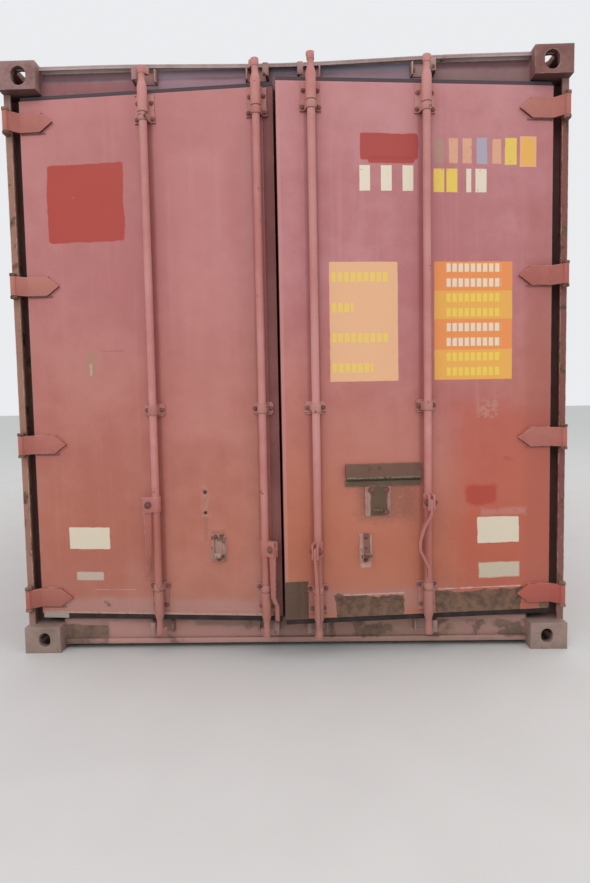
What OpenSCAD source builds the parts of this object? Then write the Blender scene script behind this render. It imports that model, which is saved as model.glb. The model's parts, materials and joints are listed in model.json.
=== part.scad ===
// Twenty-foot steel shipping container with flat doors, standing with both doors ajar.
// X runs across the width, Y from the door end (-Y) to the closed end (+Y), Z up.
// The origin is at the bottom centre of the box that holds the container as it stands.

/* [Overall size] */
// Length over the corner castings
length = 6058; // [4000:1:9000]
// Width over the corner castings
width = 2438; // [2300:1:2600]
// Height over the corner castings
height = 2591; // [2400:1:2900]

/* [Corner castings] */
// Size of a casting across the container
casting_x = 162; // [150:1:180]
// Size of a casting along the container
casting_y = 178; // [165:1:200]
// Height of a casting
casting_z = 118; // [112:1:130]
// Wall of a casting round its three holes
casting_wall = 28; // [20:1:32]
// Wall of a casting on its two inner sides
casting_inner_wall = 12; // [8:1:13]
// Length of the slot in a casting's top or bottom face
slot_length = 124.5; // [118:0.5:130]
// Width of the slot in a casting's top or bottom face
slot_width = 63.5; // [60:0.5:66]
// Height of the hole in a top casting's end face
top_hole_height = 79; // [60:1:80]
// Width of the hole in a top casting's end face
top_hole_width = 64; // [48:1:66]
// Height of the hole in a bottom casting's end face
bottom_hole_height = 64; // [60:1:80]
// Width of the hole in a bottom casting's end face
bottom_hole_width = 52; // [48:1:60]
// Length of the hole in a casting's side face
side_hole_length = 86; // [76:1:92]
// Height of the hole in a casting's side face
side_hole_height = 56; // [48:1:60]
// Distance of a slot's middle from the container's side
slot_inset_x = 89.5; // [88:0.5:92]
// Distance of a slot's middle from the container's end
slot_inset_y = 102.5; // [101:0.5:104]
// Height of a hole's middle from the casting's outer top or bottom face
hole_height = 61; // [56:0.5:66]

/* [Doors] */
// Angle that the left door stands open in degrees
left_door_angle = 4; // [3.5:0.5:4.5]
// Angle that the right door stands open in degrees
right_door_angle = 6; // [6:0.5:9]
// Gap between the doors and the header over them
door_top_gap = 20; // [18:1:30]
// Rise of the doors' bottom above the sill's top
door_bottom_gap = 30; // [28:1:40]
// Thickness of a door
door_depth = 50; // [44:1:54]
// Set-back of the doors' faces behind the castings' end faces
door_setback = 64; // [60:1:70]
// Distance of a door's hinge edge from the container's side
door_edge_inset = 59; // [54:1:66]
// Place of the meeting line of the doors, left of the middle
seam_offset = 38; // [0:1:60]
// Gap between the two doors
seam_gap = 14; // [12:1:20]
// Thickness of a door's steel skin
door_skin = 3; // [2:0.5:4]
// Width of the left door's bare frame beside its skin at the meeting line
bare_edge = 44; // [20:1:46]
// Width of the frame tubes round a door
door_frame_width = 80; // [60:1:100]
// Thickness of the plywood inside a door
door_board = 20; // [16:1:24]
// Reach of the rubber seal past a door's edges
seal_reach = 12; // [8:1:14]
// Thickness of the rubber seal
seal_depth = 24; // [16:1:30]

/* [Hinges] */
// Distance of the hinge pins from the container's side and from the castings' end faces
pin_inset = 18; // [16:1:20]
// Diameter of a hinge pin
pin_d = 16; // [12:1:18]
// Clearance round a hinge pin
pin_gap = 0.3; // [0.2:0.1:0.6]
// Height of a hinge blade
blade_height = 84; // [70:1:95]
// Thickness of a hinge blade
blade_depth = 13; // [10:1:14]
// Reach of a hinge blade from its pin
blade_reach = 192; // [150:1:240]
// Height of the lowest hinge above the ground
hinge_first = 243; // [230:1:300]
// Drop of the highest hinge below the castings' top
hinge_last_drop = 239; // [230:1:300]
// Number of hinges on a door
hinge_count = 4; // [2:1:4]
// Thickness of a hinge lug
lug_depth = 12; // [8:1:16]

/* [Lock rods] */
// Distance of the outer lock rods from the middle
outer_rod_x = 596; // [540:1:650]
// Distance of the inner lock rods from the middle
inner_rod_x = 112; // [104:1:150]
// Diameter of a lock rod
rod_d = 34; // [30:1:36]
// Wall of a lock rod
rod_wall = 4; // [3:0.5:6]
// Height of the straps round a lock rod
strap_height = 30; // [24:1:36]
// Clearance round a lock rod in its bearings
rod_gap = 0.3; // [0.2:0.1:1]
// Distance of the lock rods' axes in front of the doors' faces
rod_stand = 36; // [34:1:38]
// Reach of a cam's lobe from the rod's axis
cam_reach = 33; // [30:1:34]
// Half the thickness of a cam's lobe at its tip
cam_tip = 7; // [6:0.5:8]
// Height of a cam
cam_height = 30; // [20:1:34]
// Height of the upper cams' middle below the castings' top
top_cam_drop = 61; // [58:1:66]
// Height of the lower cams' middle above the ground
bottom_cam_z = 104; // [96:1:108]
// Diameter of the forged ends of a rod
forging_d = 42; // [38:1:44]
// Diameter of the neck under a cam
neck_d = 28; // [24:1:32]
// Height of an ear of a cam keeper
keeper_height = 54; // [46:1:60]
// Thickness of a cam keeper's base
keeper_base = 4; // [3:0.5:5]
// Clearance of a turning cam in its keeper
cam_gap = 5; // [5:0.5:7]
// Height of the middle brackets above the ground
middle_bracket_z = 1094; // [900:1:1300]
// Height of the outer rods' handle hubs
outer_hub_z = 680; // [600:1:760]
// Height of the inner rods' handle hubs
inner_hub_z = 484; // [440:1:560]
// Angle that the left door's rods stand turned from locked in degrees
left_rod_angle = 146; // [140:1:150]
// Angle that the right door's inner rod stands turned from locked in degrees
inner_rod_angle = 110; // [80:1:120]
// Angle that the right door's outer rod stands turned from locked in degrees
outer_rod_angle = 90; // [80:1:120]

/* [Handles] */
// Distance of a handle's pin from the rod's axis
handle_pivot = 42; // [41:1:48]
// Diameter of a handle's pin
handle_pin_d = 12; // [8:1:14]
// Width of a handle at its pin
handle_width = 34; // [28:1:34]
// Width of a handle at its free end
handle_tip = 20; // [16:1:26]
// Thickness of a handle's bar
handle_depth = 12; // [8:1:14]
// Length of a handle from its pin
handle_length = 326; // [280:1:330]
// Outward bend of a handle's grip
grip_bend = 24; // [0:1:30]
// Lean of the right door's inner handle to one side
handle_lean = 8; // [0:1:8]
// Sideways bow of the right door's bent outer handle
handle_bow = 50; // [20:1:52]
// Height of the fork that holds a handle's pin
fork_height = 66; // [56:1:70]

/* [Handle catches] */
// Distance of a catch's middle from its rod
catch_reach = 214; // [180:1:240]
// Drop of a catch's lip below the raised handle's middle
catch_drop = 34; // [20:1:40]
// Width of the plate of the torn catch
torn_plate = 113; // [80:1:120]
// Diameter of the bolt holes that a lost catch left in the door
bolt_hole_d = 14; // [10:1:18]
// Distance between the two bolt holes
bolt_hole_pitch = 92; // [80:1:100]

/* [Rain hood] */
// Distance of the hood's inner end from the middle
hood_from = 239; // [220:1:300]
// Gap between the hood's outer end and the lock rod
hood_gap = 7; // [6:1:20]
// Height of the hood's bottom above the outer handle hubs
hood_rise = 68; // [60:1:90]

/* [Door end frame] */
// Width of a door post's nose
nose_width = 28; // [24:1:32]
// Set-back of the door posts' noses behind the castings' end faces
nose_setback = 52; // [50:1:56]
// Thickness of a door post's outer section
post_plate = 12; // [8:1:14]
// Reach of a door post's inner channel from the container's side
channel_reach = 76; // [70:1:90]
// Gap between a door's back and what it closes against
back_gap = 10; // [6:1:14]
// Height of the header's face
header_face = 95; // [90:1:100]
// Depth of the header's top lip in front of its face
header_lip = 25; // [10:1:28]
// Depth of the dent in the middle of the header's lip
header_dent = 15; // [0:1:15]
// Thickness of the header's top lip
lip_plate = 6; // [4:1:6]
// Half the length of the dent in the header's lip
dent_reach = 820; // [400:10:1000]
// Plate of the header and of the door sill
end_plate = 8; // [5:1:10]
// Bottom of the door sill above the ground
sill_bottom = 22; // [16:1:26]
// Top of the door sill's face above the ground
sill_top = 138; // [136:1:142]
// Depth of the lip along the foot of the sill's face
sill_lip = 20; // [10:1:28]
// Height of the lip along the foot of the sill's face
sill_lip_height = 24; // [16:1:30]

/* [Base] */
// Clear height under the side rails
rail_bottom = 16; // [12:0.5:20]
// Top of the lower side rails above the ground
rail_top = 172; // [170:1:190]
// Plate of the lower side rails
rail_plate = 5; // [4:0.5:6]
// Width of the lower side rails' flanges
rail_flange = 45; // [36:1:60]
// Top of the floor above the ground
floor_top = 168; // [160:1:168]
// Thickness of the plywood floor
floor_board = 28; // [24:1:30]
// Number of cross members from end to end
cross_count = 18; // [14:1:20]
// Width of a cross member's flanges
cross_flange = 45; // [36:1:50]
// Plate of the cross members
cross_plate = 4; // [3:0.5:6]
// Distance between the forklift pockets' middles
pocket_pitch = 2080; // [2030:1:2130]
// Clear width of a forklift pocket
pocket_width = 352; // [340:1:370]
// Clear height of a forklift pocket
pocket_height = 115; // [112:1:116]
// Plate of the forklift pockets
pocket_plate = 3; // [3:0.5:4]

/* [Walls and roof] */
// Thickness of the wall and roof sheets
sheet = 2; // [1.6:0.1:3]
// Set-back of the side walls behind the castings' side faces
wall_inset = 8; // [6:1:12]
// Depth of the side walls' corrugations
wall_depth = 36; // [24:1:40]
// Width of one corrugation's outer or inner face
wall_face = 70; // [60:1:80]
// Width of one corrugation's slope
wall_slope = 68; // [40:1:72]
// Depth of the closed end's corrugations
end_depth = 44; // [30:1:46]
// Size of the square tubes along the roof
top_rail = 60; // [50:1:70]
// Wall of the square tubes along the roof
top_rail_wall = 3; // [3:0.5:5]
// Drop of the roof rails below the castings' top
roof_drop = 6; // [5:1:10]
// Height of the roof's pressed ribs
rib_height = 20; // [10:1:24]
// Width of a roof rib at its foot
rib_foot = 145; // [120:1:160]
// Width of a roof rib at its crown
rib_crown = 91; // [70:1:110]
// Distance from one roof rib to the next
rib_pitch = 209; // [200:1:230]
// Distance of the side air vents from the door end's castings
vent_from = 640; // [400:1:900]
// Height of an air vent
vent_height = 90; // [60:1:120]
// Drop of the air vents below the roof rails
vent_drop = 60; // [40:1:200]

/* [Hidden] */
$fn = 48;
red = "#8f4840";
dark_red = "#7a3b35";
bright_red = "#a5574e";
rust = "#6b4230";
steel = "#86807a";
rubber = "#2b2523";
wood = "#8a6b48";
half = width / 2;
left = -1;
right = 1;

// Hinge pins and the meeting edges of the doors
pin_x = half - pin_inset;
door_edge = half - door_edge_inset;
left_free = -seam_offset - seam_gap / 2;
right_free = -seam_offset + seam_gap / 2;

// The right door's lock gear stands farthest out, and sets where the middle lies
gear_front = rod_stand + handle_pivot + handle_width / 2;
proud = (pin_x - inner_rod_x) * sin(right_door_angle) + gear_front - door_setback;
middle_y = proud / 2;
front = middle_y - length / 2;
back = middle_y + length / 2;
pin_y = front + pin_inset;
face = front + door_setback;
rod_y = face - rod_stand;
web = door_setback - rod_stand + cam_reach + cam_gap + keeper_base;
stop_y = door_setback + door_depth + back_gap;
post_length = height - 2 * casting_z;
clear_half = half - casting_x;
roof_top = height - roof_drop;
rail_under = roof_top - top_rail;
wall_height = rail_under - rail_top;
floor_under = floor_top - floor_board;
deck_end = back - casting_y;
top_cam_z = height - top_cam_drop;
header_top = roof_top - rib_height - sheet;
header_bottom = header_top - header_face;
door_top = header_bottom - door_top_gap;
door_bottom = sill_top + door_bottom_gap;
lower_strap = door_bottom + 122;
upper_strap = door_top - 96;

// Rods as [side of the container, side of the rod on which its handle locks, X, hub height, turn]
rods = [
    [left, right, -outer_rod_x, outer_hub_z, left_rod_angle],
    [left, left, -inner_rod_x, inner_hub_z, left_rod_angle],
    [right, right, inner_rod_x, inner_hub_z, inner_rod_angle],
    [right, left, outer_rod_x, outer_hub_z, outer_rod_angle]
];
hinge_pitch = (height - hinge_last_drop - hinge_first) / (hinge_count - 1);
hinge_heights = [for (i = [0:hinge_count - 1]) hinge_first + i * hinge_pitch];

// Handles as [share of the length, place to the side of the door when locked]
straight = [[0, 0], [0.66, 0], [0.8, -grip_bend], [1, -grip_bend]];
leaning = [[0, 0], [0.12, 0], [0.6, handle_lean], [1, handle_lean]];
bowed = [[0, 0], [0.16, 0], [0.32, 0.6 * handle_bow], [0.5, 0.96 * handle_bow],
         [0.62, handle_bow], [0.76, 0.56 * handle_bow], [0.88, 0.2 * handle_bow], [1, 0.2 * handle_bow]];

// A box between two corners
module span(low, high) {
    translate(low) cube(high - low);
}

// Both halves of what is the same left and right
module both_sides() {
    children();
    mirror([1, 0, 0]) children();
}

// A flat outline in Y and Z, drawn out across the container from one X to another
module across(from_x, to_x) {
    translate([from_x, 0, 0]) rotate([90, 0, 90]) linear_extrude(to_x - from_x) children();
}

// A flat outline in X and Z, drawn out along the container from one Y to another
module along(from_y, to_y) {
    translate([0, to_y, 0]) rotate([90, 0, 0]) linear_extrude(to_y - from_y) children();
}

// A flat hole with round ends, long in its own X
module slot(long, wide) {
    for (s = [-1, 1]) translate([s * (long - wide) / 2, 0]) circle(d = wide);
    square([long - wide, wide], center = true);
}

// A closed door's piece put where the ajar door stands; side is left or right
module ajar(side) {
    turn = side == left ? -left_door_angle : right_door_angle;
    translate([side * pin_x, pin_y, 0]) rotate([0, 0, turn])
        translate([-side * pin_x, -pin_y, 0]) children();
}

// A casting with its outer corner at the origin, reaching to +X, +Y and +Z, slot downward
module casting(end_hole_height, end_hole_width) {
    inner = [casting_x - casting_wall - casting_inner_wall,
             casting_y - casting_wall - casting_inner_wall,
             casting_z - casting_wall - casting_inner_wall];
    difference() {
        cube([casting_x, casting_y, casting_z]);
        translate([casting_wall, casting_wall, casting_wall]) cube(inner);
        translate([slot_inset_x, slot_inset_y, -1]) linear_extrude(casting_wall + 2)
            rotate(90) slot(slot_length, slot_width);
        translate([slot_inset_x, -1, hole_height]) rotate([-90, 0, 0])
            linear_extrude(casting_wall + 2) rotate(90) slot(end_hole_height, end_hole_width);
        translate([-1, slot_inset_y, hole_height]) rotate([0, 90, 0])
            linear_extrude(casting_wall + 2) rotate(90) slot(side_hole_length, side_hole_height);
    }
}

// The four castings of one end; inward is the way from their end faces into the container
module end_castings(end_y, inward) {
    both_sides() translate([-half, end_y, 0]) mirror([0, inward > 0 ? 0 : 1, 0]) {
        casting(bottom_hole_height, bottom_hole_width);
        translate([0, 0, height]) mirror([0, 0, 1]) casting(top_hole_height, top_hole_width);
    }
}

module door_end_castings() {
    color(dark_red) end_castings(front, 1);
}

module closed_end_castings() {
    color(dark_red) end_castings(back, -1);
}

// The outer section of each door post: a plate along the side with a nose round the pins
module door_post_outer_sections() {
    color(dark_red) both_sides() translate([-half, front, casting_z]) linear_extrude(post_length)
        polygon([
            [0, nose_setback], [nose_width, nose_setback],
            [nose_width, nose_setback + post_plate], [post_plate, nose_setback + post_plate],
            [post_plate, casting_y], [0, casting_y]
        ]);
}

// The channel inside each door post, against which the door's seal closes
module door_post_inner_channels() {
    wall = post_plate - 2;
    color(dark_red) both_sides() translate([-half, front, casting_z]) linear_extrude(post_length)
        difference() {
            translate([post_plate, stop_y]) square([channel_reach - post_plate, casting_y - stop_y]);
            translate([post_plate + wall, stop_y + wall])
                square([channel_reach - post_plate - 2 * wall, casting_y - stop_y - 2 * wall]);
        }
}

// One hinge's two lugs with the pin between them
module hinge_lug_pair() {
    reach = nose_setback - pin_inset;
    low = blade_height / 2 + 1;
    for (s = [-1, 1]) translate([0, 0, s * (low + lug_depth / 2)]) {
        cylinder(r = pin_inset - 3, h = lug_depth, center = true);
        translate([-pin_inset + 3, 0, -lug_depth / 2]) cube([pin_inset + 5, reach, lug_depth]);
    }
    cylinder(d = pin_d, h = blade_height + 4, center = true);
}

module hinge_lugs_and_pins() {
    color(steel) both_sides() for (z = hinge_heights)
        translate([-pin_x, pin_y, z]) hinge_lug_pair();
}

// The beam over the doors: a channel with a stop for the doors' seals
module door_header() {
    stop = door_top - 2;
    top = header_top;
    color(red) translate([0, front, 0]) across(-clear_half, clear_half) polygon([
        [web, top], [web, header_bottom], [stop_y, header_bottom], [stop_y, stop],
        [casting_y, stop], [casting_y, stop + end_plate], [stop_y + end_plate, stop + end_plate],
        [stop_y + end_plate, header_bottom + end_plate], [web + end_plate, header_bottom + end_plate],
        [web + end_plate, top - end_plate], [casting_y, top - end_plate], [casting_y, top]
    ]);
}

// How far the header's lip is pressed down at a distance from its middle
function dent_at(x) = header_dent * pow(cos(90 * min(1, abs(x) / dent_reach)), 2);

// The dented lip along the header's top, standing out over the lock gear
module door_header_lip() {
    top = roof_top - 1;
    steps = 16;
    line = [for (i = [0:steps]) -clear_half + i * 2 * clear_half / steps];
    color(red) {
        along(front + web - header_lip, front + web + end_plate) polygon(concat(
            [for (x = line) [x, top - dent_at(x)]],
            [for (i = [steps:-1:0]) [line[i], top - lip_plate - dent_at(line[i])]]
        ));
        along(front + web, front + web + end_plate) polygon(concat(
            [for (x = line) [x, top - lip_plate / 2 - dent_at(x)]],
            [[clear_half, header_top], [-clear_half, header_top]]
        ));
    }
}

// The beam under the doors, with a sloping threshold that steps up to the floor
module door_sill() {
    rise = 8;
    color(rust) translate([0, front, 0]) across(-clear_half, clear_half) polygon([
        [web, sill_bottom], [casting_y - 30, sill_bottom],
        [casting_y - 30, sill_bottom + end_plate], [web + end_plate, sill_bottom + end_plate],
        [web + end_plate, sill_top - end_plate], [stop_y + end_plate, sill_top + rise - end_plate],
        [stop_y + end_plate, floor_top - end_plate], [casting_y, floor_top - end_plate],
        [casting_y, floor_top], [stop_y, floor_top], [stop_y, sill_top + rise], [web, sill_top]
    ]);
}

module door_sill_lip() {
    color(rust) span([-clear_half, front + web - sill_lip, sill_bottom],
                     [clear_half, front + web, sill_bottom + sill_lip_height]);
}

// The catch on the frame for one cam; the hooked ear stands on the side of hook
module cam_keeper(hook) {
    axis = web - door_setback + rod_stand;
    mouth = rod_d / 2 + cam_gap + 3;
    pocket = cam_reach + cam_gap;
    ear = 13;
    hook_depth = 6;
    hook_back = axis + cam_tip + cam_gap + 1;
    weak_ear = axis - 8;
    translate([0, 0, -keeper_height / 2]) linear_extrude(keeper_height) polygon([
        [-hook * (pocket + ear), 0], [-hook * (pocket + ear - 4), -weak_ear],
        [-hook * (pocket + 3), -weak_ear], [-hook * (pocket + 3), -keeper_base],
        [hook * pocket, -keeper_base], [hook * pocket, -hook_back],
        [hook * mouth, -hook_back], [hook * (mouth + hook_depth), -hook_back - hook_depth],
        [hook * (pocket + ear - 4), -hook_back - hook_depth], [hook * (pocket + ear), -hook_back],
        [hook * (pocket + ear), 0]
    ]);
}

module cam_keepers() {
    color(steel) for (r = rods, z = [bottom_cam_z, top_cam_z])
        translate([r[2], front + web, z]) cam_keeper(-r[1]);
}

// The bent-plate posts of the closed end
module closed_end_posts() {
    plate = 6;
    edge = 4;
    ret = 44;
    color(red) both_sides() translate([-half, back, casting_z]) mirror([0, 1, 0])
        linear_extrude(post_length) polygon([
            [edge, edge], [casting_x, edge], [casting_x, ret], [casting_x - plate, ret],
            [casting_x - plate, edge + plate], [edge + plate, edge + plate],
            [edge + plate, casting_y - plate], [ret, casting_y - plate], [ret, casting_y],
            [edge, casting_y]
        ]);
}

// A square tube along X with its outer corner at a Y and a Z
module tube_across(y, z, size, wall) {
    translate([0, y, z]) across(-clear_half, clear_half) difference() {
        square(size);
        translate([wall, wall]) square(size - 2 * wall);
    }
}

// The tube over the closed end, with the plate that joins it to the roof
module closed_end_top_rail() {
    color(red) {
        tube_across(back - 4 - top_rail, rail_under, top_rail, top_rail_wall);
        span([-clear_half, deck_end, roof_top - rib_height - sheet],
             [clear_half, back - 4 - top_rail, roof_top - rib_height]);
    }
}

// The beam under the closed end: a channel that opens inward
module closed_end_bottom_rail() {
    depth = 64;
    color(red) translate([0, back, 0]) across(-clear_half, clear_half) polygon([
        [-4, rail_bottom], [-depth, rail_bottom], [-depth, rail_bottom + rail_plate],
        [-4 - rail_plate, rail_bottom + rail_plate], [-4 - rail_plate, rail_top - rail_plate],
        [-depth, rail_top - rail_plate], [-depth, rail_top], [-4, rail_top]
    ]);
}

// Points of a corrugated line, from one end to the other of count waves
function wave(count, flat, slope, depth) = [
    for (i = [0:count - 1], p = [[0, 0], [flat, 0], [flat + slope, depth], [2 * flat + slope, depth]])
        [i * 2 * (flat + slope) + p[0], p[1]]
];

// A corrugated sheet standing on its edge, drawn in X from 0 to run and inward in Y
module corrugated(run, depth, sheet_height) {
    pitch = 2 * (wall_face + wall_slope);
    count = floor((run - wall_face) / pitch);
    rest = (run - count * pitch - wall_face) / 2;
    outer = [for (p = wave(count, wall_face, wall_slope, depth - sheet)) [p[0] + rest, p[1]]];
    last = count * pitch + rest;
    line = concat([[0, 0]], outer, [[last, 0], [run, 0]]);
    back_line = [for (i = [len(line) - 1:-1:0]) [line[i][0], line[i][1] + sheet]];
    linear_extrude(sheet_height) polygon(concat(line, back_line));
}

module closed_end_wall() {
    color(red) translate([clear_half, back - 10, rail_top]) rotate(180)
        corrugated(2 * clear_half, end_depth, wall_height);
}

module side_wall() {
    translate([-half + wall_inset, deck_end, rail_top]) rotate(-90)
        corrugated(length - 2 * casting_y, wall_depth, wall_height);
}

module left_side_wall() {
    color(red) side_wall();
}

module right_side_wall() {
    color(red) mirror([1, 0, 0]) side_wall();
}

module top_side_rails() {
    color(red) both_sides() translate([-half + 3, 0, rail_under])
        along(front + casting_y, deck_end) difference() {
            square(top_rail);
            translate([top_rail_wall, top_rail_wall]) square(top_rail - 2 * top_rail_wall);
        }
}

// The channels along the base, cut for the forklift pockets
module bottom_side_rails() {
    edge = 5;
    pocket_low = rail_bottom + 2 * pocket_plate;
    color(red) both_sides() difference() {
        translate([-half, 0, 0]) along(front + casting_y, deck_end) polygon([
            [edge, rail_bottom], [edge + rail_flange, rail_bottom],
            [edge + rail_flange, rail_bottom + rail_plate],
            [edge + rail_plate, rail_bottom + rail_plate],
            [edge + rail_plate, rail_top - rail_plate],
            [edge + rail_flange, rail_top - rail_plate], [edge + rail_flange, rail_top],
            [edge, rail_top]
        ]);
        for (s = [-1, 1]) translate([-half, middle_y + s * pocket_pitch / 2 - pocket_width / 2,
                                     pocket_low])
            cube([edge + 2 * rail_plate, pocket_width, pocket_height]);
    }
}

// The roof sheet with pressed cross ribs: the rib profiles along and across are intersected
module rib_volume(raise) {
    run = length - 2 * casting_y;
    count = floor((run - 60) / rib_pitch);
    first = -(count - 1) * rib_pitch / 2;
    reach = half - 3 - top_rail;
    slope = (rib_foot - rib_crown) / 2;
    intersection() {
        across(-reach, reach) for (i = [0:count - 1]) translate([first + i * rib_pitch, 0])
            polygon([
                [-rib_foot / 2, -sheet], [rib_foot / 2, -sheet], [rib_foot / 2, raise - rib_height],
                [rib_crown / 2, raise], [-rib_crown / 2, raise], [-rib_foot / 2, raise - rib_height]
            ]);
        along(-run / 2, run / 2) polygon([
            [-reach + 30, -sheet - 1], [reach - 30, -sheet - 1], [reach - 30, raise - rib_height],
            [reach - 30 - slope, raise], [-reach + 30 + slope, raise],
            [-reach + 30, raise - rib_height]
        ]);
    }
}

module roof_panel() {
    roof_lap = 15;
    reach = half - 3 - top_rail;
    low = roof_top - rib_height;
    run = length - 2 * casting_y;
    color(red) translate([0, middle_y, low]) difference() {
        union() {
            span([-reach, -run / 2, -sheet], [reach, run / 2, 0]);
            span([-clear_half, -run / 2 - roof_lap, -sheet], [clear_half, -run / 2 + 1, 0]);
            rib_volume(rib_height);
        }
        translate([0, 0, -sheet]) rib_volume(rib_height);
    }
}

// Channels across the base, left out where the forklift pockets run
module floor_cross_members() {
    reach = half - 5 - rail_plate;
    low = rail_bottom + rail_plate;
    run = length - 2 * casting_y;
    pitch = (run - cross_flange - 20) / (cross_count - 1);
    keep = pocket_width / 2 + pocket_plate + cross_flange + 4;
    color(red) for (i = [0:cross_count - 1]) {
        y = -run / 2 + 10 + i * pitch;
        near = min(abs(y - pocket_pitch / 2), abs(y + pocket_pitch / 2));
        if (near > keep) translate([0, middle_y + y, 0]) across(-reach, reach) polygon([
            [0, low], [cross_flange, low], [cross_flange, low + cross_plate],
            [cross_plate, low + cross_plate], [cross_plate, floor_under - cross_plate],
            [cross_flange, floor_under - cross_plate], [cross_flange, floor_under],
            [0, floor_under]
        ]);
    }
}

// Each forklift pocket: a channel open below, with a strap under each mouth
module forklift_pockets() {
    reach = half - 5 - rail_plate;
    low = rail_bottom + rail_plate;
    strap = 200;
    strap_from = half - 5 - rail_flange;
    inner = pocket_width / 2;
    color(red) for (s = [-1, 1]) translate([0, middle_y + s * pocket_pitch / 2, 0]) {
        across(-reach, reach) difference() {
            translate([-inner - pocket_plate, low])
                square([pocket_width + 2 * pocket_plate, floor_under - low]);
            translate([-inner, low - 1]) square([pocket_width, floor_under - low + 1 - pocket_plate]);
        }
        both_sides() span([-strap_from, -inner - pocket_plate, rail_bottom],
                          [-strap_from + strap, inner + pocket_plate, low + 1]);
    }
}

module plywood_floor() {
    reach = half - 5 - rail_flange - 1;
    color(wood) {
        span([-reach, front + casting_y, floor_under], [reach, deck_end, floor_top]);
        span([-clear_half, deck_end - 1, floor_under], [clear_half, back - 64, floor_top]);
    }
}

// A small louvred air vent high on each side wall
module side_ventilators() {
    long = 2 * wall_slope + 3 * wall_face;
    louvres = 4;
    border = 20;
    pitch = vent_height / (louvres + 1);
    color(dark_red) both_sides()
        translate([-half, front + casting_y + vent_from, rail_under - vent_drop - vent_height])
            difference() {
                cube([wall_inset, long, vent_height]);
                for (i = [1:louvres]) translate([-1, border, i * pitch - pitch / 4])
                    cube([wall_inset / 2 + 1, long - 2 * border, pitch / 2]);
            }
}

// Where a door lies across the container when closed: hinge edge first, meeting edge second
function door_low(side) = side == left ? -door_edge : right_free;
function door_high(side) = side == left ? left_free : door_edge;

// The steel skin on a door's outer face; the left door's stops short of the meeting line
module door_skin_sheet(side) {
    bare = side == left ? bare_edge : 0;
    ajar(side) difference() {
        span([door_low(side), face, door_bottom],
             [door_high(side) - bare, face + door_skin, door_top]);
        lost_catch_holes(side);
    }
}

// The bolt holes of the catch that the left door's outer handle has lost
module lost_catch_holes(side) {
    r = rods[0];
    if (side == left) for (s = [-1, 1])
        translate([r[2] + r[1] * catch_reach, face - 1, r[3] + s * bolt_hole_pitch / 2])
            rotate([-90, 0, 0]) cylinder(d = bolt_hole_d, h = door_skin + 8);
}

// The frame of square tubes behind the skin
module door_tubes(side) {
    w = door_frame_width;
    ajar(side) difference() {
        span([door_low(side), face + door_skin, door_bottom],
             [door_high(side), face + door_depth, door_top]);
        span([door_low(side) + w, face, door_bottom + w],
             [door_high(side) - w, face + door_depth + 1, door_top - w]);
    }
}

// The plywood that fills the frame behind the skin
module door_filling(side) {
    w = door_frame_width;
    ajar(side) difference() {
        span([door_low(side) + w, face + door_skin, door_bottom + w],
             [door_high(side) - w, face + door_skin + door_board, door_top - w]);
        lost_catch_holes(side);
    }
}

// The rubber seal round a door's top, bottom and hinge edge
module door_seal(side) {
    low = door_low(side);
    high = door_high(side);
    from = face + door_depth - 10 - seal_depth;
    hinge_low = side == left ? seal_reach : 0;
    hinge_high = side == left ? 0 : seal_reach;
    ajar(side) difference() {
        span([low - hinge_low, from, door_bottom - seal_reach],
             [high + hinge_high, from + seal_depth, door_top + seal_reach]);
        span([side == left ? low : low - 1, from - 1, door_bottom],
             [side == left ? high + 1 : high, from + seal_depth + 1, door_top]);
    }
}

// A forged blade: knuckle, arm round the post's nose and pointed strap on the door's face
module hinge_blade() {
    knuckle = pin_inset - 5;
    stand = door_setback - pin_inset;
    arm = stand - blade_depth;
    point = 28;
    translate([0, 0, -blade_height / 2]) difference() {
        intersection() {
            union() {
                cylinder(r = knuckle, h = blade_height);
                linear_extrude(blade_height) polygon([
                    [0, -knuckle], [arm + knuckle + 2, arm], [blade_reach, arm],
                    [blade_reach, stand], [stand - 4, stand], [-knuckle / 2, 0]
                ]);
            }
            translate([0, stand + 1, blade_height / 2]) rotate([90, 0, 0])
                linear_extrude(stand + knuckle + 2) polygon([
                    [-knuckle - 1, -blade_height / 2], [blade_reach - 2 * point, -blade_height / 2],
                    [blade_reach, 0], [blade_reach - 2 * point, blade_height / 2],
                    [-knuckle - 1, blade_height / 2]
                ]);
        }
        translate([0, 0, -1]) cylinder(d = pin_d + 2 * pin_gap, h = blade_height + 2);
    }
}

module door_blades(side) {
    ajar(side) for (z = hinge_heights) translate([side * pin_x, pin_y, z])
        mirror([side == right ? 1 : 0, 0, 0]) hinge_blade();
}

// A bearing: a plate on the door and, over part of its height, a bowed strap round the rod
module rod_bearing(plate_width, plate_low, plate_high, strap_low, strap_high) {
    bush = rod_d / 2 + rod_gap;
    strap = bush + 4;
    foot = strap + 5;
    plate = 6;
    wing = 45;
    difference() {
        union() {
            span([-plate_width / 2, -plate, plate_low], [plate_width / 2, 0, plate_high]);
            span([-wing, -plate - 2, strap_low], [wing, 0, strap_high]);
            translate([0, 0, strap_low]) linear_extrude(strap_high - strap_low) polygon([
                [-foot, -plate], [-strap, -rod_stand], [strap, -rod_stand], [foot, -plate]
            ]);
            translate([0, -rod_stand, strap_low]) cylinder(r = strap, h = strap_high - strap_low);
        }
        translate([0, -rod_stand, strap_low - 1]) cylinder(r = bush, h = strap_high - strap_low + 2);
    }
}

// The three bearings of each rod: under the forged upper end, midway, over the forged lower end
module door_bearings(side) {
    ajar(side) for (r = rods) if (r[0] == side) translate([r[2], face, 0]) {
        rod_bearing(75, door_bottom + 21, lower_strap, lower_strap, lower_strap + strap_height);
        rod_bearing(80, middle_bracket_z - 28, middle_bracket_z + 28,
                    middle_bracket_z - 20, middle_bracket_z + 20);
        rod_bearing(84, upper_strap - 9, door_top - 8, upper_strap - strap_height, upper_strap);
    }
}

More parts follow.
